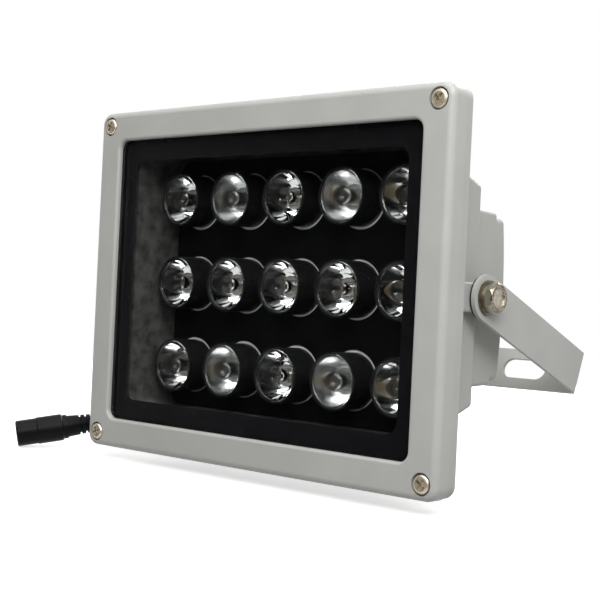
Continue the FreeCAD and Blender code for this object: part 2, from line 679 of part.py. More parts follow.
def lens(x, z, kind):
    """A collimating lens: a raised rim, a curved side and a well over the emitter.

    Kind clear has a dimple in its flat face, and kinds frosted and domed have a crowned face."""
    face_y = LENS_FRONT_Y + LENS_FACE_DEPTH
    face_r = LENS_R - LENS_RIM_W
    profile = [(face_r, face_y), (face_r, LENS_FRONT_Y), (LENS_R, LENS_FRONT_Y),
               (LENS_R, LENS_SEAT_Y)]
    profile += lens_side()
    profile += [(LENS_BORE_R, LENS_FOOT_Y), (LENS_BORE_R, LENS_FOOT_Y - LENS_BORE_DEPTH),
                (0, LENS_FOOT_Y - LENS_BORE_DEPTH)]
    if kind == "clear":
        profile += [(0, face_y + CLEAR_DIMPLE_DEPTH), (CLEAR_DIMPLE_R, face_y)]
    else:
        crown = FROSTED_CROWN if kind == "frosted" else DOMED_CROWN
        profile += [(face_r * share, face_y - crown * (1 - share ** 2))
                    for share in CROWN_STATIONS]
    return turned_y(profile, x, z)


def lens_kind(row, column):
    middle = (LENS_COLUMNS + 1) / 2
    if row == (LENS_ROWS + 1) / 2 or column == middle:
        return "clear"
    if abs(column - middle) == 1:
        return "frosted"
    return "domed"


def driver_board():
    """The constant-current board: sheet, choke, two capacitors, a chip, a terminal."""
    front = BAY_FLOOR_Y + DRIVER_STANDOFF
    rear = front + DRIVER_T
    board = slab(DRIVER_W, DRIVER_H, DRIVER_CORNER_R, front, rear)
    for x, z in driver_screw_places():
        board = board.cut(rod_y(COVER_SCREW_R + HOLE_CLEARANCE, front - 1, rear + 1, x, z))
    choke = rod_y(CHOKE_R, rear, rear + CHOKE_H, CHOKE_X)
    choke = choke.cut(rod_y(CHOKE_BORE_R, rear + CHOKE_BORE_R, rear + CHOKE_H + 1, CHOKE_X))
    capacitors = [rod_y(CAPACITOR_R, rear, rear + CAPACITOR_H, CAPACITOR_X, side * CAPACITOR_Z)
                  for side in (1, -1)]
    chip = Part.makeBox(CHIP_W, CHIP_T, CHIP_H, V(CHIP_X - CHIP_W / 2, rear, -CHIP_H / 2))
    terminal = Part.makeBox(TERMINAL_W, TERMINAL_T, TERMINAL_H,
                            V(TERMINAL_MARGIN - DRIVER_W / 2, rear, -TERMINAL_H / 2))
    return board.fuse([choke, chip, terminal] + capacitors)


def driver_board_screws():
    seat = BAY_FLOOR_Y + DRIVER_STANDOFF + DRIVER_T
    reach = DRIVER_T + DRIVER_SCREW_GRIP
    return Part.makeCompound([
        pan_head_screw(x, z, seat, -1, COVER_SCREW_R, COVER_SCREW_HEAD_R, COVER_SCREW_HEAD_H, reach)
        for x, z in driver_screw_places()])


def cover_gasket():
    inset = 2 * COVER_GASKET_INSET
    ring = slab(COVER_W - inset, COVER_H - inset, COVER_CORNER_R - COVER_GASKET_INSET, BAY_REAR_Y,
                COVER_FRONT_Y)
    hollow = slab(BAY_W - 2 * BAY_WALL, BAY_H - 2 * BAY_WALL, BAY_HOLLOW_R, BAY_REAR_Y - 1,
                  COVER_FRONT_Y + 1)
    ring = ring.cut(hollow)
    for x, z in four_corners(COVER_SCREW_X, COVER_SCREW_Z):
        ring = ring.cut(rod_y(COVER_POST_R, BAY_REAR_Y - 1, COVER_FRONT_Y + 1, x, z))
    return ring


def crowned_block():
    """The cover's outer form: flat in front, and crowned from top to bottom at the rear."""
    crown_r = ((COVER_H / 2) ** 2 + COVER_CROWN ** 2) / (2 * COVER_CROWN)
    roll = rod_x(crown_r, -COVER_W, COVER_W, COVER_REAR_Y - crown_r)
    block = slab(COVER_W, COVER_H, COVER_CORNER_R, COVER_FRONT_Y, COVER_REAR_Y + 1).common(roll)
    rear = [face for face in block.Faces if face.BoundBox.YMax > COVER_REAR_Y - 0.01]
    return block.makeFillet(COVER_EDGE_R, rear[0].Edges)


def driver_cover():
    """The crowned rear cover: a shell with four screw posts and the gland's hole."""
    shell = crowned_block()
    wall = 2 * COVER_WALL
    shell = shell.cut(slab(COVER_W - wall, COVER_H - wall, COVER_CORNER_R - COVER_WALL,
                           COVER_FRONT_Y - 1, COVER_INNER_Y))
    seat = COVER_REAR_Y - COVER_SCREW_POCKET
    places = four_corners(COVER_SCREW_X, COVER_SCREW_Z)
    shell = shell.fuse([rod_y(COVER_POST_R, COVER_FRONT_Y, COVER_INNER_Y + 0.5, x, z)
                        for x, z in places])
    for x, z in places:
        shell = shell.cut(rod_y(COVER_SCREW_HEAD_R + HOLE_CLEARANCE, seat, COVER_REAR_Y + 1, x, z))
        shell = shell.cut(rod_y(COVER_SCREW_R + HOLE_CLEARANCE, COVER_FRONT_Y - 1, seat + 1, x, z))
    hole = rod_y(GLAND_THREAD_R + 0.1, COVER_FRONT_Y - 1, COVER_REAR_Y + 1, GLAND_X)
    return shell.cut(hole).removeSplitter()


def cover_screws():
    seat = COVER_REAR_Y - COVER_SCREW_POCKET
    return Part.makeCompound([
        pan_head_screw(x, z, seat, -1, COVER_SCREW_R, COVER_SCREW_HEAD_R, COVER_SCREW_HEAD_H,
                       COVER_SCREW_REACH)
        for x, z in four_corners(COVER_SCREW_X, COVER_SCREW_Z)])


def gland_body():
    """Thread through the cover, a hexagon outside and a neck for the nut, bored for the cord."""
    inner_end = COVER_INNER_Y - GLAND_LOCKNUT_T - 1
    thread = rod_y(GLAND_THREAD_R, inner_end, COVER_REAR_Y + 0.5, GLAND_X)
    hexagon = hexagon_y(GLAND_HEX_AF, COVER_REAR_Y, GLAND_NUT_Y, GLAND_X)
    neck = rod_y(GLAND_NECK_R, GLAND_NUT_Y - 0.5, GLAND_NUT_Y + GLAND_NECK_L, GLAND_X)
    bore = rod_y(GLAND_BORE_R, inner_end - 1, GLAND_NUT_Y + GLAND_NECK_L + 1, GLAND_X)
    return hexagon.fuse([thread, neck]).cut(bore)


def gland_nut():
    """The dome nut: a hexagon that tapers to a round mouth."""
    y0 = GLAND_NUT_Y
    shoulder = y0 + GLAND_NUT_HEX_L
    corner = GLAND_NUT_AF / math.sqrt(3)
    skin = turned_y([(0, y0), (corner, y0), (corner, shoulder), (corner * 0.82, shoulder + 2.0),
                     (GLAND_NUT_TIP_R, GLAND_TIP_Y), (0, GLAND_TIP_Y)], GLAND_X)
    nut = hexagon_y(GLAND_NUT_AF, y0, GLAND_TIP_Y, GLAND_X).common(skin)
    nut = nut.cut(rod_y(GLAND_NECK_R + HOLE_CLEARANCE, y0 - 1, y0 + GLAND_NECK_L + 0.3, GLAND_X))
    return nut.cut(rod_y(CORD_R + CORD_FIT, y0, GLAND_TIP_Y + 1, GLAND_X))


def gland_locknut():
    rear = COVER_INNER_Y
    nut = hexagon_y(GLAND_LOCKNUT_AF, rear - GLAND_LOCKNUT_T, rear, GLAND_X)
    return nut.cut(rod_y(GLAND_THREAD_R + THREAD_CLEARANCE, rear - GLAND_LOCKNUT_T - 1, rear + 1,
                         GLAND_X))


def gland_seal():
    """The rubber sleeve that grips the cord inside the gland's neck."""
    y0 = COVER_REAR_Y + 1
    y1 = GLAND_NUT_Y + GLAND_NECK_L
    sleeve = rod_y(GLAND_BORE_R - THREAD_CLEARANCE, y0, y1, GLAND_X)
    return sleeve.cut(rod_y(CORD_R + THREAD_CLEARANCE, y0 - 1, y1 + 1, GLAND_X))


def cord_tail():
    """The cord's own end inside the gland and the bay."""
    return rod_y(CORD_R, BAY_REAR_Y - 6, CORD_TAIL_END_Y, GLAND_X)


def spring_washer(side):
    ring = rod_x(SPRING_WASHER_R, WASHER_X, BOLT_HEAD_X, PIVOT_Y)
    ring = ring.cut(rod_x(PIVOT_BOLT_R + 0.1, WASHER_X - 1, BOLT_HEAD_X + 1, PIVOT_Y))
    gap = Part.makeBox(SPRING_WASHER_T + 2, SPRING_WASHER_R + 1, SPRING_WASHER_SPLIT,
                       V(WASHER_X - 1, PIVOT_Y, -SPRING_WASHER_SPLIT / 2))
    gap.rotate(V(0, PIVOT_Y, 0), RIGHT, 70)
    ring = ring.cut(gap)
    return ring if side > 0 else ring.mirror(ORIGIN, RIGHT)


def plain_ring(side, radius, bore, x0, x1):
    """A flat ring about the pivot, on the side given."""
    ring = rod_x(radius, x0, x1, PIVOT_Y).cut(rod_x(bore, x0 - 1, x1 + 1, PIVOT_Y))
    return ring if side > 0 else ring.mirror(ORIGIN, RIGHT)


def pivot_bolt(side):
    """A hexagon bolt through the arm into the lug, with a chamfered head."""
    corner = BOLT_HEAD_AF / math.sqrt(3)
    end = BOLT_HEAD_X + BOLT_HEAD_H
    points = []
    for i in range(7):
        turn = math.radians(60 * i + 30)
        points.append(V(BOLT_HEAD_X, PIVOT_Y + corner * math.cos(turn), corner * math.sin(turn)))
    head = Part.Face(Part.makePolygon(points)).extrude(V(BOLT_HEAD_H, 0, 0))
    cone = Part.makeCone(corner + 1.6, corner - 0.75, BOLT_HEAD_H, V(BOLT_HEAD_X, PIVOT_Y, 0), RIGHT)
    dish = Part.makeCone(BOLT_DISH_R - BOLT_DISH_DEPTH, BOLT_DISH_R, BOLT_DISH_DEPTH,
                         V(end - BOLT_DISH_DEPTH, PIVOT_Y, 0), RIGHT)
    head = head.common(cone).cut(dish)
    tip = LUG_FACE_X - PIVOT_THREAD_DEPTH + BOLT_END_GAP
    bolt = head.fuse(rod_x(PIVOT_BOLT_R, tip, BOLT_HEAD_X + 1, PIVOT_Y))
    return bolt if side > 0 else bolt.mirror(ORIGIN, RIGHT)


def mounting_bracket():
    """A bent strip, drawn with its arms along +Y from the pivot at the origin, then dropped."""
    outer = ARM_OUTER_X
    inner = ARM_INNER_X
    r_out = BRACKET_BEND_R + BRACKET_T
    r_in = BRACKET_BEND_R
    half = BRACKET_W / 2
    length = ARM_LENGTH
    floor = length - BRACKET_T
    k_out = r_out * (1 - math.sqrt(0.5))
    k_in = r_in * (1 - math.sqrt(0.5))
    edges = [
        Part.LineSegment(V(outer, -half, 0), V(outer, length - r_out, 0)),
        Part.Arc(V(outer, length - r_out, 0), V(outer - k_out, length - k_out, 0),
                 V(outer - r_out, length, 0)),
        Part.LineSegment(V(outer - r_out, length, 0), V(-outer + r_out, length, 0)),
        Part.Arc(V(-outer + r_out, length, 0), V(-outer + k_out, length - k_out, 0),
                 V(-outer, length - r_out, 0)),
        Part.LineSegment(V(-outer, length - r_out, 0), V(-outer, -half, 0)),
        Part.LineSegment(V(-outer, -half, 0), V(-inner, -half, 0)),
        Part.LineSegment(V(-inner, -half, 0), V(-inner, floor - r_in, 0)),
        Part.Arc(V(-inner, floor - r_in, 0), V(-inner + k_in, floor - k_in, 0),
                 V(-inner + r_in, floor, 0)),
        Part.LineSegment(V(-inner + r_in, floor, 0), V(inner - r_in, floor, 0)),
        Part.Arc(V(inner - r_in, floor, 0), V(inner - k_in, floor - k_in, 0),
                 V(inner, floor - r_in, 0)),
        Part.LineSegment(V(inner, floor - r_in, 0), V(inner, -half, 0)),
        Part.LineSegment(V(inner, -half, 0), V(outer, -half, 0)),
    ]
    strip = Part.Face(Part.Wire([e.toShape() for e in edges])).extrude(V(0, 0, BRACKET_W))
    strip.translate(V(0, 0, -half))
    square = Part.makeBox(2 * outer + 2, half + 1, BRACKET_W + 2, V(-outer - 1, -half - 1, -half - 1))
    round_end = rod_x(half, -outer - 1, outer + 1)
    strip = strip.cut(square.cut(round_end))
    strip = strip.cut(rod_x(ARM_HOLE_R, -outer - 1, outer + 1))
    straight = SLOT_LENGTH - SLOT_W
    for side in (1, -1):
        middle = side * SLOT_X
        slot = Part.makeBox(straight, BRACKET_T + 2, SLOT_W,
                            V(middle - straight / 2, floor - 1, -SLOT_W / 2))
        ends = [rod_y(SLOT_W / 2, floor - 1, length + 1, middle + s * straight / 2) for s in (1, -1)]
        strip = strip.cut(slot.fuse(ends))
    strip = strip.cut(rod_y(CENTRE_HOLE_R, floor - 1, length + 1))
    strip.rotate(ORIGIN, RIGHT, -ARM_DROP_DEG)
    strip.translate(V(0, PIVOT_Y, 0))
    return strip


def run_lengths(points):
    return [(b - a).Length for a, b in zip(points, points[1:])]


def cord_tube(name, points):
    """A round tube along straight runs joined by tangent arcs, with its bend radii printed."""
    runs = run_lengths(points)
    edges = []
    start = points[0]
    radii = []
    for i in range(1, len(points) - 1):
        into = (points[i] - points[i - 1]).normalize()
        away = (points[i + 1] - points[i]).normalize()
        half_turn = into.getAngle(away) / 2
        radius = 0.45 * min(runs[i - 1], runs[i]) / math.tan(half_turn)
        radii.append(radius)
        reach = radius * math.tan(half_turn)
        first = points[i] - into * reach
        last = points[i] + away * reach
        middle_way = (away - into).normalize()
        sagitta = radius / math.cos(half_turn) - radius
        edges.append(Part.LineSegment(start, first).toShape())
        edges.append(Part.Arc(first, points[i] + middle_way * sagitta, last).toShape())
        start = last
    edges.append(Part.LineSegment(start, points[-1]).toShape())
    path = Part.Wire(edges)
    way = (points[1] - points[0]).normalize()
    circle = Part.Wire([Part.makeCircle(CORD_R, points[0], way)])
    tube = path.makePipeShell([circle], True, False)
    ideal = math.pi * CORD_R ** 2 * path.Length
    print("%s: length %.1f, radii %s, volume %.0f of %.0f" % (
        name, path.Length, ["%.1f" % r for r in radii], tube.Volume, ideal))
    return tube


def cord_coil():
    """The put-away turns as one ring with rounded edges."""
    tall = COIL_TOP_Z - TABLE_Z
    centre = V(COIL_X, COIL_Y, TABLE_Z)
    ring = Part.makeCylinder(COIL_R + CORD_R, tall, centre, UP)
    ring = ring.cut(Part.makeCylinder(COIL_R - CORD_R, tall, centre, UP))
    return ring.makeFillet(CORD_R * 0.7, [e for e in ring.Edges if len(e.Vertexes) == 1])


def coil_tie():
    """A flat strap round the coil's turns, on its right side, where it lies on the table."""
    wide = 2 * CORD_R
    tall = COIL_TOP_Z - TABLE_Z
    low = TABLE_Z
    x0 = COIL_X + COIL_R - CORD_R
    outer = Part.makeBox(wide + 2 * TIE_T, TIE_W, tall + TIE_T, V(x0 - TIE_T, COIL_Y - TIE_W / 2, low))
    ring = Part.makeCylinder(COIL_R + CORD_R + 0.05, tall, V(COIL_X, COIL_Y, low), UP)
    core = Part.makeCylinder(COIL_R - CORD_R - 0.05, tall, V(COIL_X, COIL_Y, low), UP)
    return outer.cut(ring.cut(core))


def connector_frame():
    """The nose centre and the unit vector from the nose towards the cord."""
    nose = V(-FRAME_W / 2 - NOSE_OUTSIDE_FRAME, -NOSE_AHEAD_OF_ORIGIN, TABLE_Z + NOSE_ABOVE_TABLE)
    return nose, V(*CONNECTOR_WAY).normalize()


def along(shape):
    """Moves a shape drawn along +Y from the origin onto the socket's own axis."""
    nose, way = connector_frame()
    turn = FreeCAD.Rotation(BACK, way)
    moved = shape.copy()
    moved.Placement = FreeCAD.Placement(nose, turn).multiply(moved.Placement)
    return moved


def relief_r(along_relief):
    """The strain relief's radius so far behind the collar."""
    return RELIEF_R + (RELIEF_END_R - RELIEF_R) * along_relief / RELIEF_L


def connector_body():
    """The moulded socket: nose, grip, collar and a ring-grooved strain relief, bored at the nose."""
    grip = CONNECTOR_NOSE_L + CONNECTOR_GRIP_L
    collar = grip + CONNECTOR_COLLAR_L
    edge = CONNECTOR_EDGE
    profile = [
        (0, 0), (CONNECTOR_R - edge, 0), (CONNECTOR_R, edge), (CONNECTOR_R, CONNECTOR_NOSE_L),
        (CONNECTOR_GRIP_R, CONNECTOR_NOSE_L + edge), (CONNECTOR_GRIP_R, grip),
        (CONNECTOR_COLLAR_R, grip + edge), (CONNECTOR_COLLAR_R, collar), (RELIEF_R, collar)]
    for i in range(RELIEF_GROOVES):
        first = RELIEF_GROOVE_START + i * RELIEF_GROOVE_PITCH
        last = first + RELIEF_GROOVE_W
        floor = RELIEF_GROOVE_DEPTH
        profile += [(relief_r(first), collar + first), (relief_r(first) - floor, collar + first),
                    (relief_r(last) - floor, collar + last), (relief_r(last), collar + last)]
    body = turned_y(profile + [(RELIEF_END_R, CONNECTOR_L), (0, CONNECTOR_L)])
    body = body.cut(rod_y(SOCKET_R, -1, SOCKET_DEPTH))
    bore = rod_y(CORD_R + THREAD_CLEARANCE, CONNECTOR_L - RELIEF_BORE_DEPTH, CONNECTOR_L + 1)
    return along(body.cut(bore))


def connector_socket():
    """The metal sleeve and centre pin in the nose, joined at their back."""
    sleeve = rod_y(SOCKET_R, SOCKET_INSET, SOCKET_DEPTH)
    sleeve = sleeve.cut(rod_y(SOCKET_R - SOCKET_WALL, 0, SOCKET_DEPTH - SOCKET_BACK_T))
    pin = rod_y(SOCKET_PIN_R, SOCKET_PIN_INSET, SOCKET_DEPTH)
    return along(sleeve.fuse(pin))


def upper_points():
    """From the gland's mouth down to the coil's top turn."""
    start = V(GLAND_X, CORD_START_Y, 0) + LOWERED + LAMP_SHIFT
    top_turn = V(COIL_X, COIL_Y, COIL_TOP_Z - CORD_R)
    points = [start] + [start + V(*p) for p in DROP_ROUTE]
    return points + [top_turn + V(*p) for p in COIL_APPROACH]


def lower_points():
    """From the coil's lowest turn to the socket's strain relief."""
    points = [V(-FRAME_W / 2 - outside, y, TABLE_Z + CORD_R + above)
              for outside, y, above in SIDE_ROUTE]
    nose, way = connector_frame()
    return points + [nose + way * (CONNECTOR_L - RELIEF_BORE_DEPTH)]


def front_nodes():
    """What is centred on the window."""
    nodes = {
        "front_frame": front_frame(),
        "frame_screws": frame_screws(),
        "glass_window": glass_window(),
        "glass_gasket": glass_gasket(),
        "rear_housing": rear_housing(),
        "thermal_pad": thermal_pad(),
        "led_board": led_board(),
        "led_emitters": led_emitters(),
        "cover_panel": cover_panel(),
    }
    for row, column, x, z in lens_places():
        nodes["lens_holder_r%dc%d" % (row, column)] = lens_holder(x, z)
        nodes["lens_r%dc%d" % (row, column)] = lens(x, z, lens_kind(row, column))
    return nodes


def back_nodes():
    """What is centred on the driver bay and the pivots, a little lower than the window."""
    nodes = {
        "driver_board": driver_board(),
        "driver_board_screws": driver_board_screws(),
        "driver_cover_gasket": cover_gasket(),
        "driver_cover": driver_cover(),
        "driver_cover_screws": cover_screws(),
        "gland_body": gland_body(),
        "gland_nut": gland_nut(),
        "gland_locknut": gland_locknut(),
        "gland_seal": gland_seal(),
        "cord_tail": cord_tail(),
        "friction_pads": Part.makeCompound(both_sides(
            plain_ring, PAD_R, PIVOT_BOLT_R + 0.1, LUG_FACE_X, ARM_INNER_X)),
        "flat_washers": Part.makeCompound(both_sides(
            plain_ring, FLAT_WASHER_R, PIVOT_BOLT_R + 0.1, ARM_OUTER_X, WASHER_X)),
        "spring_washers": Part.makeCompound(both_sides(spring_washer)),
        "pivot_bolts": Part.makeCompound(both_sides(pivot_bolt)),
        "mounting_bracket": mounting_bracket(),
    }
    return {name: shape.translated(LOWERED) for name, shape in nodes.items()}


def lead_nodes():
    """The lead, drawn in the row frame."""
    return {
        "lead_cord_upper": cord_tube("lead_cord_upper", upper_points()),
        "lead_cord_coil": cord_coil(),
        "coil_tie": coil_tie(),
        "lead_cord_lower": cord_tube("lead_cord_lower", lower_points()),
        "connector_body": connector_body(),
        "connector_socket": connector_socket(),
    }


def main():
    os.makedirs("parts", exist_ok=True)
    nodes = {**front_nodes(), **back_nodes()}
    for name in nodes:
        nodes[name] = nodes[name].translated(LAMP_SHIFT)
    nodes.update(lead_nodes())
    for name, shape in nodes.items():
        if not shape.isValid():
            print("not valid:", name)
        shape.exportStep("parts/%s.step" % name)
    print(len(nodes), "nodes")


main()
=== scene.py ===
"""Looks of the infrared illuminator: finishes, lead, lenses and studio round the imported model.

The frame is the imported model's own: +Z up, and the lamp faces -Y. The sizes of the object are
in millimetres and those of the studio in metres.
"""
import logging
import math
from dataclasses import KW_ONLY, dataclass, field
from enum import Enum
from typing import Sequence, Union

import bmesh
import bpy
from mathutils import Matrix, Vector


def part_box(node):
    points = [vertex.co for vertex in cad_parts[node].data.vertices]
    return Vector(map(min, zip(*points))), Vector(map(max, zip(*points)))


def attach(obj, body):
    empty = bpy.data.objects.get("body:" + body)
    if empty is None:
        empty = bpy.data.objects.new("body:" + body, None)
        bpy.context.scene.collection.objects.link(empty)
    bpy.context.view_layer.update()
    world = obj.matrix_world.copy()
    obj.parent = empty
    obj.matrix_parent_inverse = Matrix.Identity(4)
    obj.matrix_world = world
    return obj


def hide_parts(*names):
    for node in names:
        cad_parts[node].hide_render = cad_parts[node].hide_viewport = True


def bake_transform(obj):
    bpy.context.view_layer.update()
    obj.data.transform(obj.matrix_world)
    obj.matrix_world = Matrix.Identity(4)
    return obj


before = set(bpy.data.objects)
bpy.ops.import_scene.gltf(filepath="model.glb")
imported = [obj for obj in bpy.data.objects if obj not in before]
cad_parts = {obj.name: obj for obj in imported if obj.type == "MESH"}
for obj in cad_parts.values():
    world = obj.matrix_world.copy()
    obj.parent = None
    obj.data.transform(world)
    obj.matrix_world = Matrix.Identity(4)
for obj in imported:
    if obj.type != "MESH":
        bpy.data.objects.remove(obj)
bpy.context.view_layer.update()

LOG = logging.getLogger("illuminator")
MM = 0.001
ON_AXIS = 1e-6
Colour = tuple[float, float, float]
Place = tuple[float, float, float]
Pair = tuple[float, float]
Value = Union[float, Colour, bpy.types.NodeSocket]


class Body(str, Enum):
    """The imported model's bodies."""

    LAMP = "lamp"
    BRACKET = "bracket"


class Slot(str, Enum):
    """The record's material slots named for the new pieces; nothing here reads them."""

    BLACK_RUBBER = "black_rubber"
    CORD = "cord_black"
    LENS_CLEAR = "lens_clear"
    LENS_DOMED = "lens_domed"
    LENS_FROSTED = "lens_frosted"


def grey(level: int) -> float:
    """Gives the linear value of a grey level from 0 to 255, by the sRGB curve.

    Args:
        level: The level as a picture has it.

    Returns:
        The share of light, from 0 to 1.
    """
    share = level / 255
    return share / 12.92 if share <= 0.04045 else ((share + 0.055) / 1.055) ** 2.4


def colour(red: int, green: int, blue: int) -> Colour:
    """Gives the linear colour of three levels from 0 to 255."""
    return grey(red), grey(green), grey(blue)


class FinishSheet:
    """The node tree of one finish while it is put together."""

    def __init__(self, name: str) -> None:
        """Starts a material with one Principled shader.

        Args:
            name: The material's name.
        """
        self.material = bpy.data.materials.new(name)
        self.material.use_nodes = True
        self.tree = self.material.node_tree
        self.tree.nodes.clear()
        self.output = self.node("ShaderNodeOutputMaterial")
        self.shader = self.node("ShaderNodeBsdfPrincipled")
        self.join(self.shader.outputs["BSDF"], self.output.inputs["Surface"])

    @classmethod
    def opened(cls, material: bpy.types.Material) -> "FinishSheet":
        """Gives the sheet of a material that is there already, to add to it.

        Args:
            material: A material that a sheet made.

        Returns:
            The sheet, with its shader and its output.
        """
        sheet = cls.__new__(cls)
        sheet.material = material
        sheet.tree = material.node_tree
        kinds = {node.bl_idname: node for node in sheet.tree.nodes}
        sheet.output = kinds["ShaderNodeOutputMaterial"]
        sheet.shader = kinds["ShaderNodeBsdfPrincipled"]
        return sheet

    def clear_for(self, share: bpy.types.NodeSocket) -> None:
        """Lets rays straight through by a share, so that what is behind is lit plainly.

        Args:
            share: The output with the share, from 0 to 1.
        """
        clear = self.node("ShaderNodeBsdfTransparent")
        mixed = self.node("ShaderNodeMixShader")
        self.join(share, mixed.inputs["Fac"])
        self.join(self.shader.outputs["BSDF"], mixed.inputs[1])
        self.join(clear.outputs["BSDF"], mixed.inputs[2])
        self.join(mixed.outputs["Shader"], self.output.inputs["Surface"])

    def node(self, kind: str, **settings: object) -> bpy.types.Node:
        """Adds a node.

        Args:
            kind: Blender's name for its type.
            settings: Values for its properties.

        Returns:
            The new node.
        """
        made = self.tree.nodes.new(kind)
        for key, value in settings.items():
            setattr(made, key, value)
        return made

    def join(self, source: bpy.types.NodeSocket, target: bpy.types.NodeSocket) -> None:
        """Links one socket to another."""
        self.tree.links.new(source, target)

    def feed(self, target: bpy.types.NodeSocket, value: Value) -> None:
        """Gives a socket a number, a colour or a link.

        Args:
            target: The socket that takes the value.
            value: A number, a linear colour or another node's output.
        """
        if isinstance(value, bpy.types.NodeSocket):
            self.join(value, target)
        elif isinstance(value, tuple) and target.type == "RGBA":
            target.default_value = (*value, 1.0)
        else:
            target.default_value = value

    def set(self, **values: Value) -> None:
        """Sets sockets of the shader by their names, with _ for a space."""
        for name, value in values.items():
            self.feed(self.shader.inputs[name.replace("_", " ")], value)

    def fed_by(self, name: str) -> bpy.types.NodeSocket:
        """Gives the output that a socket of the shader takes its value from."""
        return self.shader.inputs[name].links[0].from_socket

    def place(self, stretch: Place = (1.0, 1.0, 1.0)) -> bpy.types.NodeSocket:
        """Gives the point on the piece in millimetres.

        Args:
            stretch: How many times longer a pattern gets along each axis.

        Returns:
            The output with the scaled coordinates.
        """
        point = self.node("ShaderNodeTexCoord").outputs["Object"]
        scaled = self.node("ShaderNodeVectorMath", operation="MULTIPLY")
        self.join(point, scaled.inputs[0])
        scaled.inputs[1].default_value = tuple(1 / MM / s for s in stretch)
        return scaled.outputs["Vector"]

    def noise(self, size: float, detail: float = 3.0, rough: float = 0.5,
              stretch: Place = (1.0, 1.0, 1.0)) -> bpy.types.NodeSocket:
        """Gives a noise from 0 to 1.

        Args:
            size: How large its blobs are, in millimetres.
            detail: How many finer noises are added.
            rough: How strong they are.
            stretch: How many times longer the blobs get along each axis.

        Returns:
            The output with the noise.
        """
        made = self.node("ShaderNodeTexNoise")
        self.join(self.place(stretch), made.inputs["Vector"])
        made.inputs["Scale"].default_value = 1 / size
        made.inputs["Detail"].default_value = detail
        made.inputs["Roughness"].default_value = rough
        return made.outputs["Fac"]

    def spread(self, value: bpy.types.NodeSocket, low: float, high: float,
               first: float = 0.3, last: float = 0.7) -> bpy.types.NodeSocket:
        """Maps a value between first and last onto low to high.

        Args:
            value: The output to map.
            low: What first becomes.
            high: What last becomes.
            first: The value where the change starts.
            last: The value where it ends.

        Returns:
            The output with the mapped value.
        """
        made = self.node("ShaderNodeMapRange")
        self.join(value, made.inputs["Value"])
        for name, number in zip(("From Min", "From Max", "To Min", "To Max"),
                                (first, last, low, high)):
            made.inputs[name].default_value = number
        return made.outputs["Result"]

    def blend(self, share: Value, first: Value, second: Value) -> bpy.types.NodeSocket:
        """Mixes two colours.

        Args:
            share: 0 for the first, 1 for the second.
            first: A colour.
            second: A colour.

        Returns:
            The output with the mixture.
        """
        made = self.node("ShaderNodeMix", data_type="RGBA")
        self.feed(made.inputs["Factor"], share)
        self.feed(made.inputs["A"], first)
        self.feed(made.inputs["B"], second)
        return made.outputs["Result"]

    def maths(self, operation: str, first: Value, second: Value = 0.0) -> bpy.types.NodeSocket:
        """Works out a sum, product or comparison.

        Args:
            operation: Blender's name for it.
            first: A value.
            second: A value.

        Returns:
            The output with the result.
        """
        made = self.node("ShaderNodeMath", operation=operation)
        self.feed(made.inputs[0], first)
        self.feed(made.inputs[1], second)
        return made.outputs["Value"]

    def vector_maths(self, operation: str, first: bpy.types.NodeSocket,
                     second: Sequence[float]) -> bpy.types.NodeSocket:
        """Works out a sum, product or limit of a point and a constant point.

        Args:
            operation: Blender's name for it.
            first: The output with the point.
            second: The constant.

        Returns:
            The output with the result.
        """
        made = self.node("ShaderNodeVectorMath", operation=operation)
        self.join(first, made.inputs[0])
        made.inputs[1].default_value = tuple(second)
        return made.outputs["Vector"]

    def within(self, low: Sequence[float], high: Sequence[float], radius: float,
               edge: float = 0.05) -> bpy.types.NodeSocket:
        """Gives 1 inside a box on the piece and 0 outside it.

        Args:
            low: The box's lowest corner, in millimetres.
            high: Its highest corner.
            radius: The radius of its four corners as seen from the front.
            edge: How far the change takes.

        Returns:
            The output with the share.
        """
        middle = [(a + b) / 2 for a, b in zip(low, high)]
        reach = [(b - a) / 2 for a, b in zip(low, high)]
        offset = self.vector_maths("SUBTRACT", self.place(), middle)
        offset = self.vector_maths("ABSOLUTE", offset, (0.0, 0.0, 0.0))
        parts = self.node("ShaderNodeSeparateXYZ")
        self.join(offset, parts.inputs[0])
        deep = self.spread(parts.outputs["Y"], 1.0, 0.0, reach[1] - edge, reach[1] + edge)
        corner = self.vector_maths("SUBTRACT", offset, (reach[0] - radius, 0.0, reach[2] - radius))
        corner = self.vector_maths("MAXIMUM", corner, (0.0, 0.0, 0.0))
        corner = self.vector_maths("MULTIPLY", corner, (1.0, 0.0, 1.0))
        length = self.node("ShaderNodeVectorMath", operation="LENGTH")
        self.join(corner, length.inputs[0])
        round_share = self.spread(length.outputs["Value"], 1.0, 0.0, radius - edge, radius + edge)
        return self.maths("MULTIPLY", deep, round_share)

    def bump(self, height: bpy.types.NodeSocket, depth: float, strength: float = 1.0) -> None:
        """Raises the surface by a height map, over any bump before it.

        Args:
            height: The output with the height, from 0 to 1.
            depth: How deep it is, in millimetres.
            strength: The share of it that shows.
        """
        made = self.node("ShaderNodeBump")
        made.inputs["Strength"].default_value = strength
        made.inputs["Distance"].default_value = depth * MM
        self.join(height, made.inputs["Height"])
        before = self.shader.inputs["Normal"]
        if before.is_linked:
            self.join(before.links[0].from_socket, made.inputs["Normal"])
        self.join(made.outputs["Normal"], before)


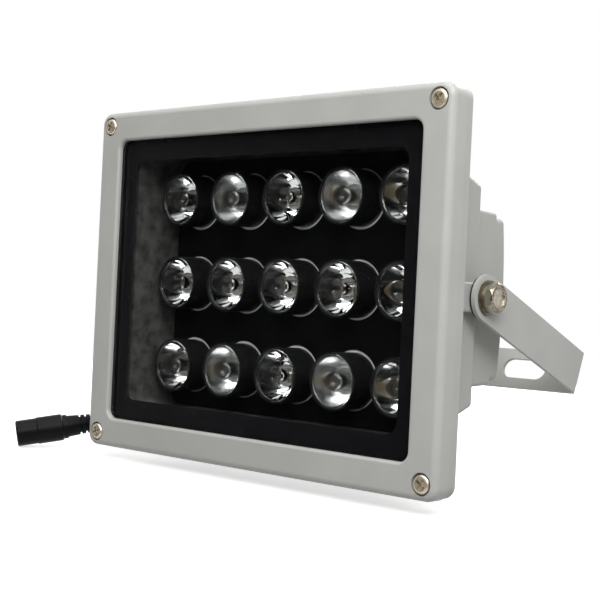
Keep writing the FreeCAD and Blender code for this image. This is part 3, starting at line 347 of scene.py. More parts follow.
@dataclass(frozen=True)
class Finish:
    """A finish with one colour that drifts a little over the surface."""

    name: str
    base: Colour
    roughness: float = 0.5
    drift: float = 0.08
    drift_size: float = 14.0
    _: KW_ONLY
    rough_drift: float = 0.1
    rough_size: float = 0.25

    def sheet(self) -> FinishSheet:
        """Starts the material with its drifting colour and its roughness.

        Returns:
            The sheet, to which a finish adds what is its own.
        """
        sheet = FinishSheet(self.name)
        darker = tuple(c * (1 - self.drift) for c in self.base)
        lighter = tuple(min(c * (1 + self.drift), 1.0) for c in self.base)
        cloud = sheet.spread(sheet.noise(self.drift_size), 0.0, 1.0)
        sheet.set(Base_Color=sheet.blend(cloud, darker, lighter))
        rough = sheet.spread(sheet.noise(self.drift_size * self.rough_size),
                             self.roughness * (1 - self.rough_drift),
                             self.roughness * (1 + self.rough_drift))
        sheet.set(Roughness=rough)
        return sheet

    def material(self) -> bpy.types.Material:
        """Gives the finished material."""
        return self.sheet().material


@dataclass(frozen=True)
class PowderCoat(Finish):
    """Fine-textured powder coat over a casting or sheet steel."""

    grain: float = 0.42
    grain_depth: float = 0.03
    orange_peel: float = 3.0
    speck_gain: float = 1.22
    gloss: float = 0.42

    def material(self) -> bpy.types.Material:
        """Gives the coat its light specks, its slow orange peel and its grain.

        Returns:
            The finished material.
        """
        sheet = self.sheet()
        base = sheet.fed_by("Base Color")
        specks = sheet.spread(sheet.noise(self.grain, detail=2.0, rough=0.7), 0.0, 1.0,
                              first=0.62, last=0.76)
        lighter = tuple(min(c * self.speck_gain, 1.0) for c in self.base)
        sheet.set(Base_Color=sheet.blend(specks, base, lighter))
        sheet.bump(sheet.noise(self.orange_peel, detail=1.0), depth=0.05, strength=0.35)
        sheet.bump(sheet.noise(self.grain, detail=2.0, rough=0.6), self.grain_depth,
                   strength=0.5)
        sheet.set(Specular_IOR_Level=self.gloss)
        return sheet.material


@dataclass(frozen=True)
class CavityShadeCoat(PowderCoat):
    """Powder coat outside, and painted shade, mottled, inside the lamp's cavity.

    The cavity's box and the mouth's box, a thin one at its rim, say where the shade is painted.
    """

    # painted shade: these two greys darken the cavity's walls and the mouth's rim, mottled between
    # them
    painted_shade_dark: Colour = colour(38, 38, 38)
    painted_shade_light: Colour = colour(86, 86, 83)
    mottle: float = 4.6
    cavity_low: Place = (-73.3, -103.6, -24.2)
    cavity_high: Place = (73.3, -76.9, 83.6)
    cavity_radius: float = 6.9
    mouth_low: Place = (-79.0, -103.6, -30.0)
    mouth_high: Place = (79.0, -102.8, 89.4)

    def material(self) -> bpy.types.Material:
        """Gives the coat as it is, and paints mottled dark shade over it inside the cavity.

        Returns:
            The finished material.
        """
        material = super().material()
        sheet = FinishSheet.opened(material)
        base = sheet.fed_by("Base Color")
        mottle = sheet.spread(sheet.noise(self.mottle, detail=6.0, rough=0.64), 0.0, 1.0,
                              first=0.33, last=0.68)
        shade_paint = sheet.blend(mottle, self.painted_shade_dark, self.painted_shade_light)
        # painted shade over the coat inside the cavity and at its mouth
        inside = sheet.maths(
            "MAXIMUM", sheet.within(self.cavity_low, self.cavity_high, self.cavity_radius),
            sheet.within(self.mouth_low, self.mouth_high, self.cavity_radius))
        sheet.set(Base_Color=sheet.blend(inside, base, shade_paint))
        return material


@dataclass(frozen=True)
class NickelPlate(Finish):
    """Nickel-plated steel with fine scratches and small dents."""

    scratch: float = 0.5
    scratch_way: Place = (6.0, 1.0, 1.0)
    dent: float = 2.2

    def material(self) -> bpy.types.Material:
        """Gives the plate its metal, scratches and dents.

        Returns:
            The finished material.
        """
        sheet = self.sheet()
        sheet.set(Metallic=1.0)
        sheet.bump(sheet.noise(self.scratch, detail=3.0, rough=0.6, stretch=self.scratch_way),
                   depth=0.02, strength=0.5)
        sheet.bump(sheet.noise(self.dent, detail=2.0), depth=0.06, strength=0.35)
        return sheet.material


@dataclass(frozen=True)
class ForgedHead(NickelPlate):
    """Nickel plate on forged bolts, with a rough, dull end face on each head."""

    end: float = 0.0
    face_depth: float = 0.7
    face_edge: float = 0.1
    face_rough: float = 0.16
    scale: float = 0.9
    pit: float = 0.8
    dull_dark: Colour = colour(84, 78, 68)
    dull_light: Colour = colour(176, 168, 150)

    def material(self) -> bpy.types.Material:
        """Gives the plate as it is, and roughens both ends by their distance from the middle.

        Returns:
            The finished material.
        """
        material = super().material()
        sheet = FinishSheet.opened(material)
        parts = sheet.node("ShaderNodeSeparateXYZ")
        sheet.join(sheet.place(), parts.inputs[0])
        out = sheet.maths("ABSOLUTE", parts.outputs["X"])
        low = self.end - self.face_depth
        face = sheet.spread(out, 0.0, 1.0, low - self.face_edge, low + self.face_edge)
        base = sheet.fed_by("Base Color")
        rough = sheet.fed_by("Roughness")
        scale = sheet.spread(sheet.noise(self.scale, detail=4.0, rough=0.7), 0.0, 1.0,
                             first=0.4, last=0.6)
        dull = sheet.blend(scale, self.dull_dark, self.dull_light)
        sheet.set(Base_Color=sheet.blend(face, base, dull))
        more = sheet.maths("MULTIPLY", face, self.face_rough)
        sheet.set(Roughness=sheet.maths("ADD", rough, more))
        sheet.bump(sheet.noise(self.pit, detail=3.0, rough=0.6), depth=0.08, strength=0.6)
        return material


@dataclass(frozen=True)
class MouldedPlastic(Finish):
    """Moulded plastic or rubber with a fine spark-eroded grain."""

    grain: float = 0.35
    grain_depth: float = 0.02
    gloss: float = 0.5
    sink: float = 5.0

    def material(self) -> bpy.types.Material:
        """Gives the moulding its shallow sinks and its grain.

        Returns:
            The finished material.
        """
        sheet = self.sheet()
        sheet.set(Specular_IOR_Level=self.gloss)
        sheet.bump(sheet.noise(self.sink, detail=1.0), depth=0.05, strength=0.3)
        sheet.bump(sheet.noise(self.grain, detail=2.0, rough=0.6), self.grain_depth,
                   strength=0.5)
        return sheet.material


@dataclass(frozen=True)
class CoatedGlass(Finish):
    """Toughened window glass with an anti-reflection coat."""

    index: float = 1.5
    gloss: float = 0.2
    smear: float = 30.0
    smear_rough: float = 0.03

    def material(self) -> bpy.types.Material:
        """Gives clear glass that lets the lamps through to what is behind it.

        Returns:
            The finished material.
        """
        sheet = FinishSheet(self.name)
        smear = sheet.spread(sheet.noise(self.smear, detail=4.0), 0.0, self.smear_rough,
                             first=0.45, last=0.75)
        sheet.set(Base_Color=self.base, Roughness=smear)
        sheet.set(Transmission_Weight=1.0, IOR=self.index, Specular_IOR_Level=self.gloss)
        path = sheet.node("ShaderNodeLightPath")
        sheet.clear_for(sheet.maths("MAXIMUM", path.outputs["Is Shadow Ray"],
                                    path.outputs["Is Diffuse Ray"]))
        return sheet.material


@dataclass(frozen=True)
class LensPlastic(Finish):
    """Clear acrylic of the collimating lenses, polished or lightly frosted."""

    frost: float = 0.0
    frost_drift: float = 0.04
    frost_size: float = 1.5
    index: float = 1.49
    ripple: float = 0.9

    def material(self) -> bpy.types.Material:
        """Gives the acrylic its frost, uneven from moulding.

        Returns:
            The finished material.
        """
        sheet = FinishSheet(self.name)
        sheet.set(Base_Color=self.base)
        sheet.set(Roughness=sheet.spread(sheet.noise(self.frost_size), self.frost,
                                         self.frost + self.frost_drift))
        sheet.set(Transmission_Weight=1.0, IOR=self.index)
        sheet.bump(sheet.noise(self.ripple, detail=1.0), depth=0.004, strength=0.3)
        sheet.clear_for(sheet.node("ShaderNodeLightPath").outputs["Is Shadow Ray"])
        return sheet.material


@dataclass(frozen=True)
class HighlightRimPlastic(Finish):
    """The lens's raised rim, made pale as a painted highlight for the light on its rounded edge,
    while the face stays clear.
    """

    clearness: float = 0.1
    index: float = 1.49
    grain: float = 0.6

    def material(self) -> bpy.types.Material:
        """Gives the rim its pale, part clear, slightly rough edge, which is a painted highlight.

        Returns:
            The finished material.
        """
        sheet = self.sheet()
        sheet.set(Transmission_Weight=self.clearness, IOR=self.index)
        sheet.bump(sheet.noise(self.grain, detail=2.0), depth=0.03, strength=0.4)
        return sheet.material


@dataclass(frozen=True)
class EmitterPackage(Finish):
    """The emitter's ceramic base with a soft yellowish resin dome in front."""

    dome: Colour = (0.2, 0.15, 0.08)
    dome_front: float = 0.0
    dome_edge: float = 0.1
    resin: float = 0.6
    resin_rough: float = 0.08

    def material(self) -> bpy.types.Material:
        """Paints the dome by how far it stands in front of the base.

        Returns:
            The finished material.
        """
        sheet = self.sheet()
        base = sheet.fed_by("Base Color")
        parts = sheet.node("ShaderNodeSeparateXYZ")
        sheet.join(sheet.place(), parts.inputs[0])
        front = sheet.spread(parts.outputs["Y"], 1.0, 0.0,
                             first=self.dome_front - self.dome_edge, last=self.dome_front)
        sheet.set(Base_Color=sheet.blend(front, base, self.dome))
        sheet.set(Coat_Weight=self.resin, Coat_Roughness=self.resin_rough)
        return sheet.material


FRAME_PAINT = PowderCoat("frame powder coat", colour(171, 171, 167), 0.34, 0.04, 22.0)
# the housing's coat, with painted shade inside the cavity
HOUSING_PAINT = CavityShadeCoat("housing powder coat", colour(170, 170, 166), 0.5, 0.05, 22.0)
BRACKET_PAINT = PowderCoat("bracket powder coat", colour(173, 173, 169), 0.45, 0.05, 18.0)
NICKEL = NickelPlate("nickel plate", colour(196, 190, 176), 0.28, 0.12, 2.0)
SCREW = NickelPlate("screw plate", colour(216, 206, 186), 0.46, 0.12, 2.0)
WASHER = NickelPlate("dull washer plate", colour(112, 104, 90), 0.4, 0.25, 1.6)
SPRING = NickelPlate("spring washer plate", colour(176, 174, 156), 0.42, 0.12, 1.6)
RUBBER = MouldedPlastic("silicone rubber", (0.012, 0.012, 0.013), 0.6, 0.2, 6.0)
PAD_FILM = MouldedPlastic("thermal pad film", (0.16, 0.17, 0.18), 0.7, 0.1, 6.0)
BOARD_MASK = MouldedPlastic("white board mask", colour(228, 229, 226), 0.35, 0.03, 8.0)
GREEN_MASK = MouldedPlastic("green board mask", (0.02, 0.11, 0.05), 0.35, 0.1, 5.0)
PANEL = MouldedPlastic("black panel sheet", (0.0025, 0.0025, 0.003), 0.5, 0.2, 20.0, 0.3, 0.01,
                       gloss=0.08)
HOLDER = MouldedPlastic("black holder nylon", (0.008, 0.008, 0.009), 0.3, 0.2, 5.0, 0.5, 0.01)
GLAND = MouldedPlastic("black gland nylon", (0.014, 0.014, 0.015), 0.42, 0.15, 6.0)
JACKET = MouldedPlastic("cord jacket", (0.006, 0.006, 0.0065), 0.36, 0.15, 9.0, 0.6, 0.015, 0.3)
SOCKET_PVC = MouldedPlastic("socket moulding", (0.004, 0.004, 0.0045), 0.42, 0.15, 7.0, gloss=0.1)
TIE = MouldedPlastic("tie strap weave", (0.02, 0.02, 0.02), 0.8, 0.3, 1.0, 0.4, 0.12)
BRASS = NickelPlate("socket contact", colour(206, 190, 150), 0.3, 0.1, 1.5)
BORDER = MouldedPlastic("printed window border", (0.004, 0.004, 0.005), 0.25, 0.2, 20.0, 0.3, 0.004)
GLASS = CoatedGlass("coated window glass", (0.97, 0.985, 0.975))
LENS_CLEAR = LensPlastic("clear lens acrylic", (0.98, 0.985, 0.98))
LENS_DOMED = LensPlastic("domed lens acrylic", (0.96, 0.97, 0.965), frost=0.06)
LENS_FROSTED = LensPlastic("frosted lens acrylic", (0.93, 0.95, 0.945), frost=0.16)
# painted highlight: the clear rim is pale and nearly opaque so that it shows as a bright ring
LENS_RIM_HIGHLIGHT = HighlightRimPlastic("lens rim acrylic", (0.88, 0.9, 0.89), 0.3, 0.12, 3.0)


@dataclass
class Wardrobe:
    """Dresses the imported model's nodes, with each finish made once."""

    made: dict[str, bpy.types.Material] = field(default_factory=dict)

    def get(self, finish: Finish) -> bpy.types.Material:
        """Gives the material of a finish, which is made at its first use.

        Args:
            finish: The finish.

        Returns:
            Its material, one for all pieces that have it.
        """
        if finish.name not in self.made:
            self.made[finish.name] = finish.material()
        return self.made[finish.name]

    def dress(self, node: str, finish: Finish) -> None:
        """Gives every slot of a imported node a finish.

        Args:
            node: The node's name.
            finish: What it is finished with.
        """
        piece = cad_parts[node]
        if not piece.material_slots:
            piece.data.materials.append(None)
        for place in piece.material_slots:
            place.link = "OBJECT"
            place.material = self.get(finish)
        LOG.info("%s: %s", node, finish.name)

    def dress_all(self, coats: Sequence[tuple[str, Finish]]) -> None:
        """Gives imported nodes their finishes."""
        for node, finish in coats:
            self.dress(node, finish)

    def dress_new(self, piece: bpy.types.Object, *finishes: Finish) -> None:
        """Gives a new piece its finishes.

        Args:
            piece: The new piece.
            finishes: One for each number that its faces have, in order.
        """
        piece.data.materials.clear()
        for finish in finishes:
            piece.data.materials.append(self.get(finish))
        LOG.info("%s: %s", piece.name, ", ".join(finish.name for finish in finishes))


def add_object(name: str, data: bpy.types.ID) -> bpy.types.Object:
    """Adds an object to the scene.

    Args:
        name: The object's name.
        data: Its mesh, curve, camera or light.

    Returns:
        The new object.
    """
    made = bpy.data.objects.new(name, data)
    bpy.context.scene.collection.objects.link(made)
    return made


def finished_mesh(name: str, mesh: bmesh.types.BMesh) -> bpy.types.Mesh:
    """Ends the work on a mesh.

    Args:
        name: The mesh's name.
        mesh: The mesh under construction, which is freed.

    Returns:
        The mesh for an object.
    """
    data = bpy.data.meshes.new(name)
    mesh.to_mesh(data)
    mesh.free()
    return data


def new_piece(name: str, mesh: bpy.types.Mesh, body: Body) -> bpy.types.Object:
    """Adds a mesh to the scene as a piece that rides on a body.

    Args:
        name: The piece's name.
        mesh: Its mesh, in metres.
        body: The body that it moves with.

    Returns:
        The new object.
    """
    piece = add_object(name, mesh)
    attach(piece, body.value)
    return piece


def rounded_outline(width: float, height: float, radius: float, steps: int = 8) -> list[Pair]:
    """Gives the points of a rounded rectangle round the middle, anticlockwise.

    Args:
        width: From left to right.
        height: From top to bottom.
        radius: The radius of its corners.
        steps: How many straight pieces a corner has.

    Returns:
        The points, as pairs of right and up.
    """
    points = []
    for i, (sx, sz) in enumerate(((1, 1), (-1, 1), (-1, -1), (1, -1))):
        cx, cz = sx * (width / 2 - radius), sz * (height / 2 - radius)
        for k in range(steps + 1):
            turn = math.radians(90 * (i + k / steps))
            points.append((cx + radius * math.cos(turn), cz + radius * math.sin(turn)))
    return points


@dataclass
class Lead:
    """The lead: from the gland, down to a tied coil behind the lamp, and round it to the socket.

    Its points are the source's own route. The bend run gives the way and the length over which it
    would go from following the lamp to lying with the bracket, but nothing here reads it. It
    slants, because along y alone the far end, which comes forward again, would follow the lamp too.
    """

    diameter: float = 4.8
    table: float = -46.22
    start: Place = (-36.0, -25.022, 28.581)
    upper: Sequence[Place] = (
        (-36.0, -15.0, 28.6),
        (-33.2, -0.5, 24.5),
        (-24.6, 20.5, 11.6),
        (-23.4, 35.6, -4.7),
        (-27.7, 41.5, -16.9),
        (-36.9, 43.2, -27.6),
        (-49.6, 41.7, -33.8),
    )
    lower: Sequence[Place] = (
        (-93.4, -7.0, -43.8),
        (-94.2, -25.5, -43.5),
        (-94.9, -43.0, -39.8),
        (-95.9, -60.0, -34.2),
        (-99.4, -76.1, -31.7),
    )
    end: Place = (-107.61, -88.69, -34.2)
    coil_centre: Pair = (-66.0, 15.0)
    coil_radius: float = 26.0
    coil_first: float = 82.5
    coil_step: float = 23.0
    coil_points: int = 37
    coil_flat: float = 108.0
    coil_layers: float = 2.5
    bend_run: Place = (-12.8, 14.3, -8.6)
    curve_steps: int = 8
    round_steps: int = 5

    def coil_height(self, turned: float) -> float:
        """Gives the height of the cord's middle along the coil.

        A turn lies flat at first, and then steps down by one diameter onto the turn below.

        Args:
            turned: How far the coil has turned there, in degrees.

        Returns:
            The height in the frame.
        """
        whole, part = divmod(turned, 360.0)
        step = max(part - self.coil_flat, 0.0) / (360.0 - self.coil_flat)
        return self.table + self.diameter * (self.coil_layers - whole - step)

    def coil(self) -> list[Place]:
        """Gives the coil's points, anticlockwise from above and from the top turn down.

        Returns:
            The points, a little outside the coil's radius, because the curve cuts inside them.
        """
        # A curve of order 3 takes 3/4 of a point and 1/8 of each point beside it.
        reach = self.coil_radius / (0.75 + 0.25 * math.cos(math.radians(self.coil_step)))
        points = []
        for i in range(self.coil_points):
            turned = self.coil_step * i
            turn = math.radians(self.coil_first + turned)
            points.append((self.coil_centre[0] + reach * math.cos(turn),
                           self.coil_centre[1] + reach * math.sin(turn),
                           self.coil_height(turned)))
        return points

    def spline(self, bevel: float) -> bpy.types.Object:
        """Makes the cord's one smooth curve.

        Args:
            bevel: Its radius in metres, or 0 for the bare line.

        Returns:
            The curve's object.
        """
        points = [self.start, *self.upper, *self.coil(), *self.lower, self.end]
        curve = bpy.data.curves.new("lead route", "CURVE")
        curve.dimensions = "3D"
        line = curve.splines.new("NURBS")
        line.points.add(len(points) - 1)
        for point, place in zip(line.points, points):
            point.co = (*(Vector(place) * MM), 1.0)
        line.order_u = 3
        line.use_endpoint_u = True
        line.resolution_u = self.curve_steps
        curve.bevel_depth = bevel
        curve.bevel_resolution = self.round_steps
        curve.use_fill_caps = True
        holder = add_object("lead route", curve)
        bpy.context.view_layer.update()
        return holder

    def mesh_of(self, bevel: float) -> bpy.types.Mesh:
        """Gives the mesh of the curve and takes the curve away.

        Args:
            bevel: The curve's radius in metres, or 0 for the bare line.

        Returns:
            The tube, or the line's points.
        """
        holder = self.spline(bevel)
        mesh = bpy.data.meshes.new_from_object(
            holder.evaluated_get(bpy.context.evaluated_depsgraph_get()))
        bpy.data.objects.remove(holder)
        return mesh

    def build(self, wardrobe: Wardrobe) -> None:
        """Args:
            wardrobe: Where the finishes come from.
        """
        path = [tuple(v.co) for v in self.mesh_of(0.0).vertices]
        tube = self.mesh_of(self.diameter / 2 * MM)
        tube.shade_smooth()
        cord = add_object("lead_cord", tube)
        wardrobe.dress_new(cord, JACKET)
        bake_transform(cord)
        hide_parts("lead_cord_upper", "lead_cord_coil", "lead_cord_lower")
        wardrobe.dress_all((("coil_tie", TIE), ("connector_body", SOCKET_PVC),
                            ("connector_socket", BRASS), ("cord_tail", JACKET)))


@dataclass
class Window:
    """The front frame, the glass with its printed border, and what seals it."""

    border_width: float = 141.8
    border_height: float = 100.0
    border_radius: float = 5.0
    border_inset: float = 0.4
    print_depth: float = 0.05

    def border(self, wardrobe: Wardrobe) -> None:
        """Makes the black print round the window on the back of the glass.

        Args:
            wardrobe: Where the finish comes from.
        """
        low, high = (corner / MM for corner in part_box("glass_window"))
        middle = (low + high) / 2
        outer = rounded_outline(high.x - low.x - 2 * self.border_inset,
                                high.z - low.z - 2 * self.border_inset, self.border_radius)
        inner = rounded_outline(self.border_width, self.border_height, self.border_radius)
        mesh = bmesh.new()
        rings = []
        for y in (high.y - 2 * self.print_depth, high.y - self.print_depth):
            for ring in (outer, inner):
                rings.append([mesh.verts.new(Vector((middle.x + x, y, middle.z + z)) * MM)
                              for x, z in ring])
        front_out, front_in, back_out, back_in = rings
        count = len(outer)
        for i in range(count):
            k = (i + 1) % count
            mesh.faces.new((front_out[i], front_out[k], front_in[k], front_in[i]))
            mesh.faces.new((back_out[i], back_in[i], back_in[k], back_out[k]))
            mesh.faces.new((front_out[i], back_out[i], back_out[k], front_out[k]))
            mesh.faces.new((front_in[i], front_in[k], back_in[k], back_in[i]))
        bmesh.ops.recalc_face_normals(mesh, faces=mesh.faces)
        piece = new_piece("window_border_print", finished_mesh("window_border_print", mesh),
                          Body.LAMP)
        wardrobe.dress_new(piece, BORDER)

    def build(self, wardrobe: Wardrobe) -> None:
        """Dresses the frame, glass, gasket and screws and adds the printed border.

        Args:
            wardrobe: Where the finishes come from.
        """
        wardrobe.dress_all((("front_frame", FRAME_PAINT), ("frame_screws", SCREW),
                            ("glass_window", GLASS), ("glass_gasket", RUBBER)))
        self.border(wardrobe)


@dataclass(frozen=True)
class LensForm:
    """One collimating lens turned about its axis, in millimetres from its rim's front."""

    finish: LensPlastic
    slot: Slot
    crown: float = 0.0
    rim_finish: HighlightRimPlastic = LENS_RIM_HIGHLIGHT
    rim_radius: float = 10.1
    rim_width: float = 0.75
    rim_depth: float = 1.2
    face_depth: float = 0.45
    seat_radius: float = 9.35
    depth: float = 11.6
    foot_radius: float = 4.4
    well_radius: float = 2.7
    well_depth: float = 7.4
    well_bulge: float = 1.3
    dimple_radius: float = 3.4
    dimple_depth: float = 1.6
    side_steps: int = 18
    face_steps: int = 14
    round_steps: int = 5
    turns: int = 72
    sharp_deg: float = 40.0

    def face(self) -> list[Pair]:
        """Gives the face from the axis outwards: crowned, or flat with a dimple.

        Returns:
            Its points, as pairs of radius and depth.
        """
        inner = self.rim_radius - self.rim_width
        points = []
        for i in range(self.face_steps + 1):
            radius = inner * i / self.face_steps
            depth = self.face_depth
            if self.crown:
                depth -= self.crown * (1 - (radius / inner) ** 2)
            elif radius < self.dimple_radius:
                depth += self.dimple_depth * (1 - (radius / self.dimple_radius) ** 2)
            points.append((radius, depth))
        return points

    def rim(self) -> list[Pair]:
        """Gives the raised ring round the face as half a round.

        Returns:
            Its points, as pairs of radius and depth.
        """
        half = self.rim_width / 2
        return [(self.rim_radius - half - half * math.cos(math.pi * i / self.round_steps),
                 half - half * math.sin(math.pi * i / self.round_steps))
                for i in range(self.round_steps + 1)]

    def side(self) -> list[Pair]:
        """Gives the seat and the side, a parabola down to the foot.

        Returns:
            Its points, as pairs of radius and depth.
        """
        points = [(self.rim_radius, self.rim_depth)]
        for i in range(self.side_steps + 1):
            share = i / self.side_steps
            square = self.seat_radius ** 2 + share * (self.foot_radius ** 2 - self.seat_radius ** 2)
            points.append((math.sqrt(square),
                           self.rim_depth + share * (self.depth - self.rim_depth)))
        return points

    def well(self) -> list[Pair]:
        """Gives the well over the emitter, with its domed end, back to the axis.

        Returns:
            Its points, as pairs of radius and depth.
        """
        top = self.depth - self.well_depth
        points = [(self.well_radius, self.depth)]
        for i in range(self.round_steps + 1):
            radius = self.well_radius * (1 - i / self.round_steps)
            points.append((radius, top + self.well_bulge * (1 - (radius / self.well_radius) ** 2)))
        return points

    def mesh(self, name: str, x: float, front: float, z: float) -> bpy.types.Mesh:
        """Turns the profile about the lens's axis.

        Args:
            name: The mesh's name.
            x: The axis's place from left to right.
            front: How far back the rim's front lies.
            z: The axis's height.

        Returns:
            The closed mesh, in metres.
        """
        profile = self.face() + self.rim()[1:] + self.side() + self.well()
        mesh = bmesh.new()
        rings = []
        for radius, depth in profile:
            if radius < ON_AXIS:
                rings.append([mesh.verts.new(Vector((x, front + depth, z)) * MM)])
                continue
            rings.append([mesh.verts.new(Vector((
                x + radius * math.cos(math.tau * i / self.turns), front + depth,
                z + radius * math.sin(math.tau * i / self.turns))) * MM)
                for i in range(self.turns)])
        for number, (first, last) in enumerate(zip(rings, rings[1:])):
            rim = self.face_steps <= number <= self.face_steps + self.round_steps
            for i in range(self.turns):
                k = (i + 1) % self.turns
                corners = [first[i % len(first)], first[k % len(first)],
                           last[k % len(last)], last[i % len(last)]]
                face = mesh.faces.new(list(dict.fromkeys(corners)))
                face.material_index = int(rim)
        bmesh.ops.recalc_face_normals(mesh, faces=mesh.faces)
        data = finished_mesh(name, mesh)
        data.shade_smooth()
        data.set_sharp_from_angle(angle=math.radians(self.sharp_deg))
        return data


@dataclass
class Optics:
    """The board, the black panel, and fifteen lenses in their holders."""

    rows: int = 3
    columns: int = 5
    clear: LensForm = LensForm(LENS_CLEAR, Slot.LENS_CLEAR)
    frosted: LensForm = LensForm(LENS_FROSTED, Slot.LENS_FROSTED, crown=1.4)
    domed: LensForm = LensForm(LENS_DOMED, Slot.LENS_DOMED, crown=0.9)
    emitter_base: float = 1.7

    def form(self, row: int, column: int) -> LensForm:
        """Chooses a lens: clear in the middle row and column, frosted beside it, domed outside.

        Args:
            row: The row, from 1 at the top.
            column: The column, from 1 at the left.

        Returns:
            The lens's form.
        """
        middle = (self.columns + 1) // 2
        if row == (self.rows + 1) // 2 or column == middle:
            return self.clear
        return self.frosted if abs(column - middle) == 1 else self.domed

    def lens(self, wardrobe: Wardrobe, row: int, column: int) -> None:
        """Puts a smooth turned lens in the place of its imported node.

        Args:
            wardrobe: Where the finishes come from.
            row: The row, from 1 at the top.
            column: The column, from 1 at the left.
        """
        node = f"lens_r{row}c{column}"
        form = self.form(row, column)
        low, high = (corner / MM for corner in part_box(node))
        middle = (low + high) / 2
        data = form.mesh(f"clear_{node}", middle.x, high.y - form.depth, middle.z)
        piece = new_piece(f"clear_{node}", data, Body.LAMP)
        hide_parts(node)
        wardrobe.dress_new(piece, form.finish, form.rim_finish)

    def build(self, wardrobe: Wardrobe) -> None:
        """Dresses the board, panel, emitters and holders, and makes the lenses.

        Args:
            wardrobe: Where the finishes come from.
        """
        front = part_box("led_emitters")[0].y / MM
        package = EmitterPackage("emitter package", colour(122, 114, 94), roughness=0.4,
                                 dome_front=front + self.emitter_base)
        wardrobe.dress_all((("thermal_pad", PAD_FILM), ("led_board", BOARD_MASK),
                            ("cover_panel", PANEL), ("led_emitters", package)))
        for row in range(1, self.rows + 1):
            for column in range(1, self.columns + 1):
                wardrobe.dress(f"lens_holder_r{row}c{column}", HOLDER)
                self.lens(wardrobe, row, column)


@dataclass
class Housing:
    """The casting, the driver bay's cover and contents, and the cord gland."""

    coats: Sequence[tuple[str, Finish]] = (
        ("rear_housing", HOUSING_PAINT), ("driver_cover", HOUSING_PAINT),
        ("driver_cover_gasket", RUBBER), ("driver_cover_screws", NICKEL),
        ("driver_board", GREEN_MASK), ("driver_board_screws", NICKEL),
        ("gland_body", GLAND), ("gland_nut", GLAND), ("gland_locknut", GLAND),
        ("gland_seal", RUBBER),
    )

    def build(self, wardrobe: Wardrobe) -> None:
        """Dresses the housing's nodes."""
        wardrobe.dress_all(self.coats)


@dataclass
class Bracket:
    """The bent strip and its pivot hardware."""

    coats: Sequence[tuple[str, Finish]] = (
        ("mounting_bracket", BRACKET_PAINT), ("friction_pads", RUBBER),
        ("flat_washers", WASHER), ("spring_washers", SPRING),
    )

    def build(self, wardrobe: Wardrobe) -> None:
        """Dresses the bracket, washers and pads, and the bolts, whose ends are dull.

        Args:
            wardrobe: Where the finishes come from.
        """
        wardrobe.dress_all(self.coats)
        wardrobe.dress("pivot_bolts", ForgedHead(
            "forged bolt plate", colour(196, 192, 178), roughness=0.3, drift=0.1,
            drift_size=1.6, end=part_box("pivot_bolts")[1].x / MM))


@dataclass(frozen=True)
class SoftLamp:
    """A rectangular lamp: its middle, its width and height in metres, and its watts."""

    name: str
    place: Place
    size: Pair
    power: float

    def hang(self, target: Place) -> None:
        """Hangs the lamp.

        Args:
            target: The point that it faces.
        """
        data = bpy.data.lights.new(self.name, "AREA")
        data.shape = "RECTANGLE"
        data.size, data.size_y = self.size
        data.energy = self.power
        lamp = add_object(self.name, data)
        lamp.location = self.place
        lamp.rotation_mode = "QUATERNION"
        way = Vector(target) - Vector(self.place)
        lamp.rotation_quaternion = way.to_track_quat("-Z", "Y")


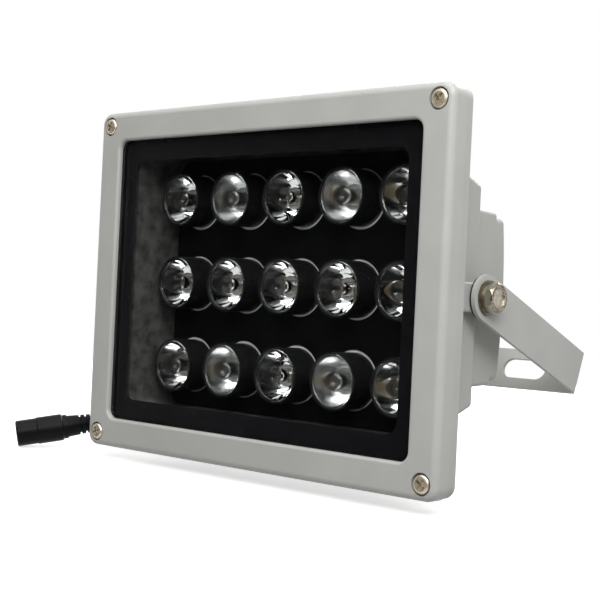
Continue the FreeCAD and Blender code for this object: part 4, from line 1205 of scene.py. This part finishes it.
@dataclass
class Studio:
    """The camera at the photograph's angle, a pale table, soft lamps and a white surround.

    Its sizes are in metres. The card's angles are in degrees from the front, and its lower and
    upper edge are given for each metre of its distance.
    """

    lens: float = 74.05
    sensor: float = 36.0
    clip: Pair = (0.01, 20.0)
    eye: Place = (0.3258, -0.44922, 0.02468)
    right: Place = (0.7487, 0.6612, 0.0478)
    down: Place = (0.0358, 0.0316, -0.9989)
    forward: Place = (-0.6619, 0.7496, 0.0)
    table: float = -0.04635
    table_side: float = 1.3
    table_seen: Colour = (0.9, 0.9, 0.9)
    table_bounced: Colour = (0.3, 0.3, 0.3)
    table_glow: float = 0.5
    card_centre: Place = (0.0, -0.1, 0.03)
    card_distance: float = 1.1
    card_first: float = -88.0
    card_arc: float = 148.0
    card_steps: int = 24
    card_edges: Pair = (-0.45, 0.5)
    target: Place = (0.0, -0.08, 0.03)
    lamps: Sequence[SoftLamp] = (
        SoftLamp("overhead lamp", (0.1, -0.35, 0.95), (0.9, 0.7), 6.2),
        SoftLamp("right lamp", (0.42, -0.3, 0.34), (0.3, 0.3), 1.35),
        SoftLamp("front lamp", (0.4, -0.7, 0.42), (0.4, 0.3), 3.3),
        SoftLamp("rear lamp", (-0.25, 0.85, 0.6), (0.8, 0.6), 7.0),
    )
    light_level: float = 0.26
    shown_level: float = 1.0

    def camera(self) -> None:
        """Places the camera by its own three directions."""
        data = bpy.data.cameras.new("photo camera")
        data.lens = self.lens
        data.sensor_width = self.sensor
        data.clip_start, data.clip_end = self.clip
        camera = add_object("photo camera", data)
        axes = Matrix((self.right, tuple(-d for d in self.down), tuple(-f for f in self.forward)))
        camera.matrix_world = Matrix.Translation(self.eye) @ axes.transposed().to_4x4()
        bpy.context.scene.camera = camera

    def floor(self) -> None:
        """Makes the pale table, white to the camera where nothing shades it."""
        mesh = bmesh.new()
        bmesh.ops.create_grid(mesh, x_segments=2, y_segments=2, size=self.table_side / 2)
        table = add_object("table", finished_mesh("table", mesh))
        table.location = (0.0, 0.0, self.table)
        sheet = FinishSheet("table paper")
        path = sheet.node("ShaderNodeLightPath")
        sheet.set(Base_Color=sheet.blend(path.outputs["Is Diffuse Ray"], self.table_seen,
                                         self.table_bounced))
        sheet.set(Roughness=0.8, Specular_IOR_Level=0.0)
        glow = sheet.maths("MULTIPLY", path.outputs["Is Camera Ray"], self.table_glow)
        sheet.set(Emission_Color=(1.0, 1.0, 1.0), Emission_Strength=glow)
        table.data.materials.append(sheet.material)
        table.visible_glossy = False
        table.visible_transmission = False

    def flag(self) -> None:
        """Hangs a dark card in front, which only mirrors and lenses see."""
        mesh = bmesh.new()
        centre = Vector(self.card_centre)
        columns = []
        for i in range(self.card_steps + 1):
            azimuth = math.radians(self.card_first + self.card_arc * i / self.card_steps)
            ways = [Vector((-math.sin(azimuth), -math.cos(azimuth), up)) for up in self.card_edges]
            columns.append([mesh.verts.new(centre + way * self.card_distance) for way in ways])
        for first, second in zip(columns, columns[1:]):
            mesh.faces.new((first[0], second[0], second[1], first[1]))
        card = add_object("dark card", finished_mesh("dark card", mesh))
        card.visible_camera = False
        card.visible_diffuse = False
        card.visible_shadow = False
        sheet = FinishSheet("dark card")
        sheet.set(Base_Color=(0.01, 0.01, 0.01), Roughness=0.9, Specular_IOR_Level=0.0)
        card.data.materials.append(sheet.material)

    def surround(self) -> None:
        """Lights from all round at a plain level, and shows as white."""
        world = bpy.data.worlds.new("white surround")
        bpy.context.scene.world = world
        world.use_nodes = True
        tree = world.node_tree
        ground = tree.nodes["Background"]
        path = tree.nodes.new("ShaderNodeLightPath")
        shown = path.outputs["Is Camera Ray"]
        for ray in ("Is Glossy Ray", "Is Transmission Ray"):
            either = tree.nodes.new("ShaderNodeMath")
            either.operation = "MAXIMUM"
            tree.links.new(shown, either.inputs[0])
            tree.links.new(path.outputs[ray], either.inputs[1])
            shown = either.outputs["Value"]
        level = tree.nodes.new("ShaderNodeMapRange")
        tree.links.new(shown, level.inputs["Value"])
        level.inputs["To Min"].default_value = self.light_level
        level.inputs["To Max"].default_value = self.shown_level
        tree.links.new(level.outputs["Result"], ground.inputs["Strength"])
        ground.inputs["Color"].default_value = (1.0, 1.0, 1.0, 1.0)

    def build(self) -> None:
        """Sets up everything round the object."""
        self.floor()
        self.flag()
        for lamp in self.lamps:
            lamp.hang(self.target)
        self.surround()
        bpy.context.scene.view_settings.view_transform = "Standard"


def main() -> None:
    """Builds the scene in order, the camera and the lead first."""
    logging.basicConfig(level=logging.INFO, format="%(message)s")
    studio = Studio()
    studio.camera()
    wardrobe = Wardrobe()
    Lead().build(wardrobe)
    Window().build(wardrobe)
    Optics().build(wardrobe)
    Housing().build(wardrobe)
    Bracket().build(wardrobe)
    studio.build()


if __name__ == "__main__":
    main()
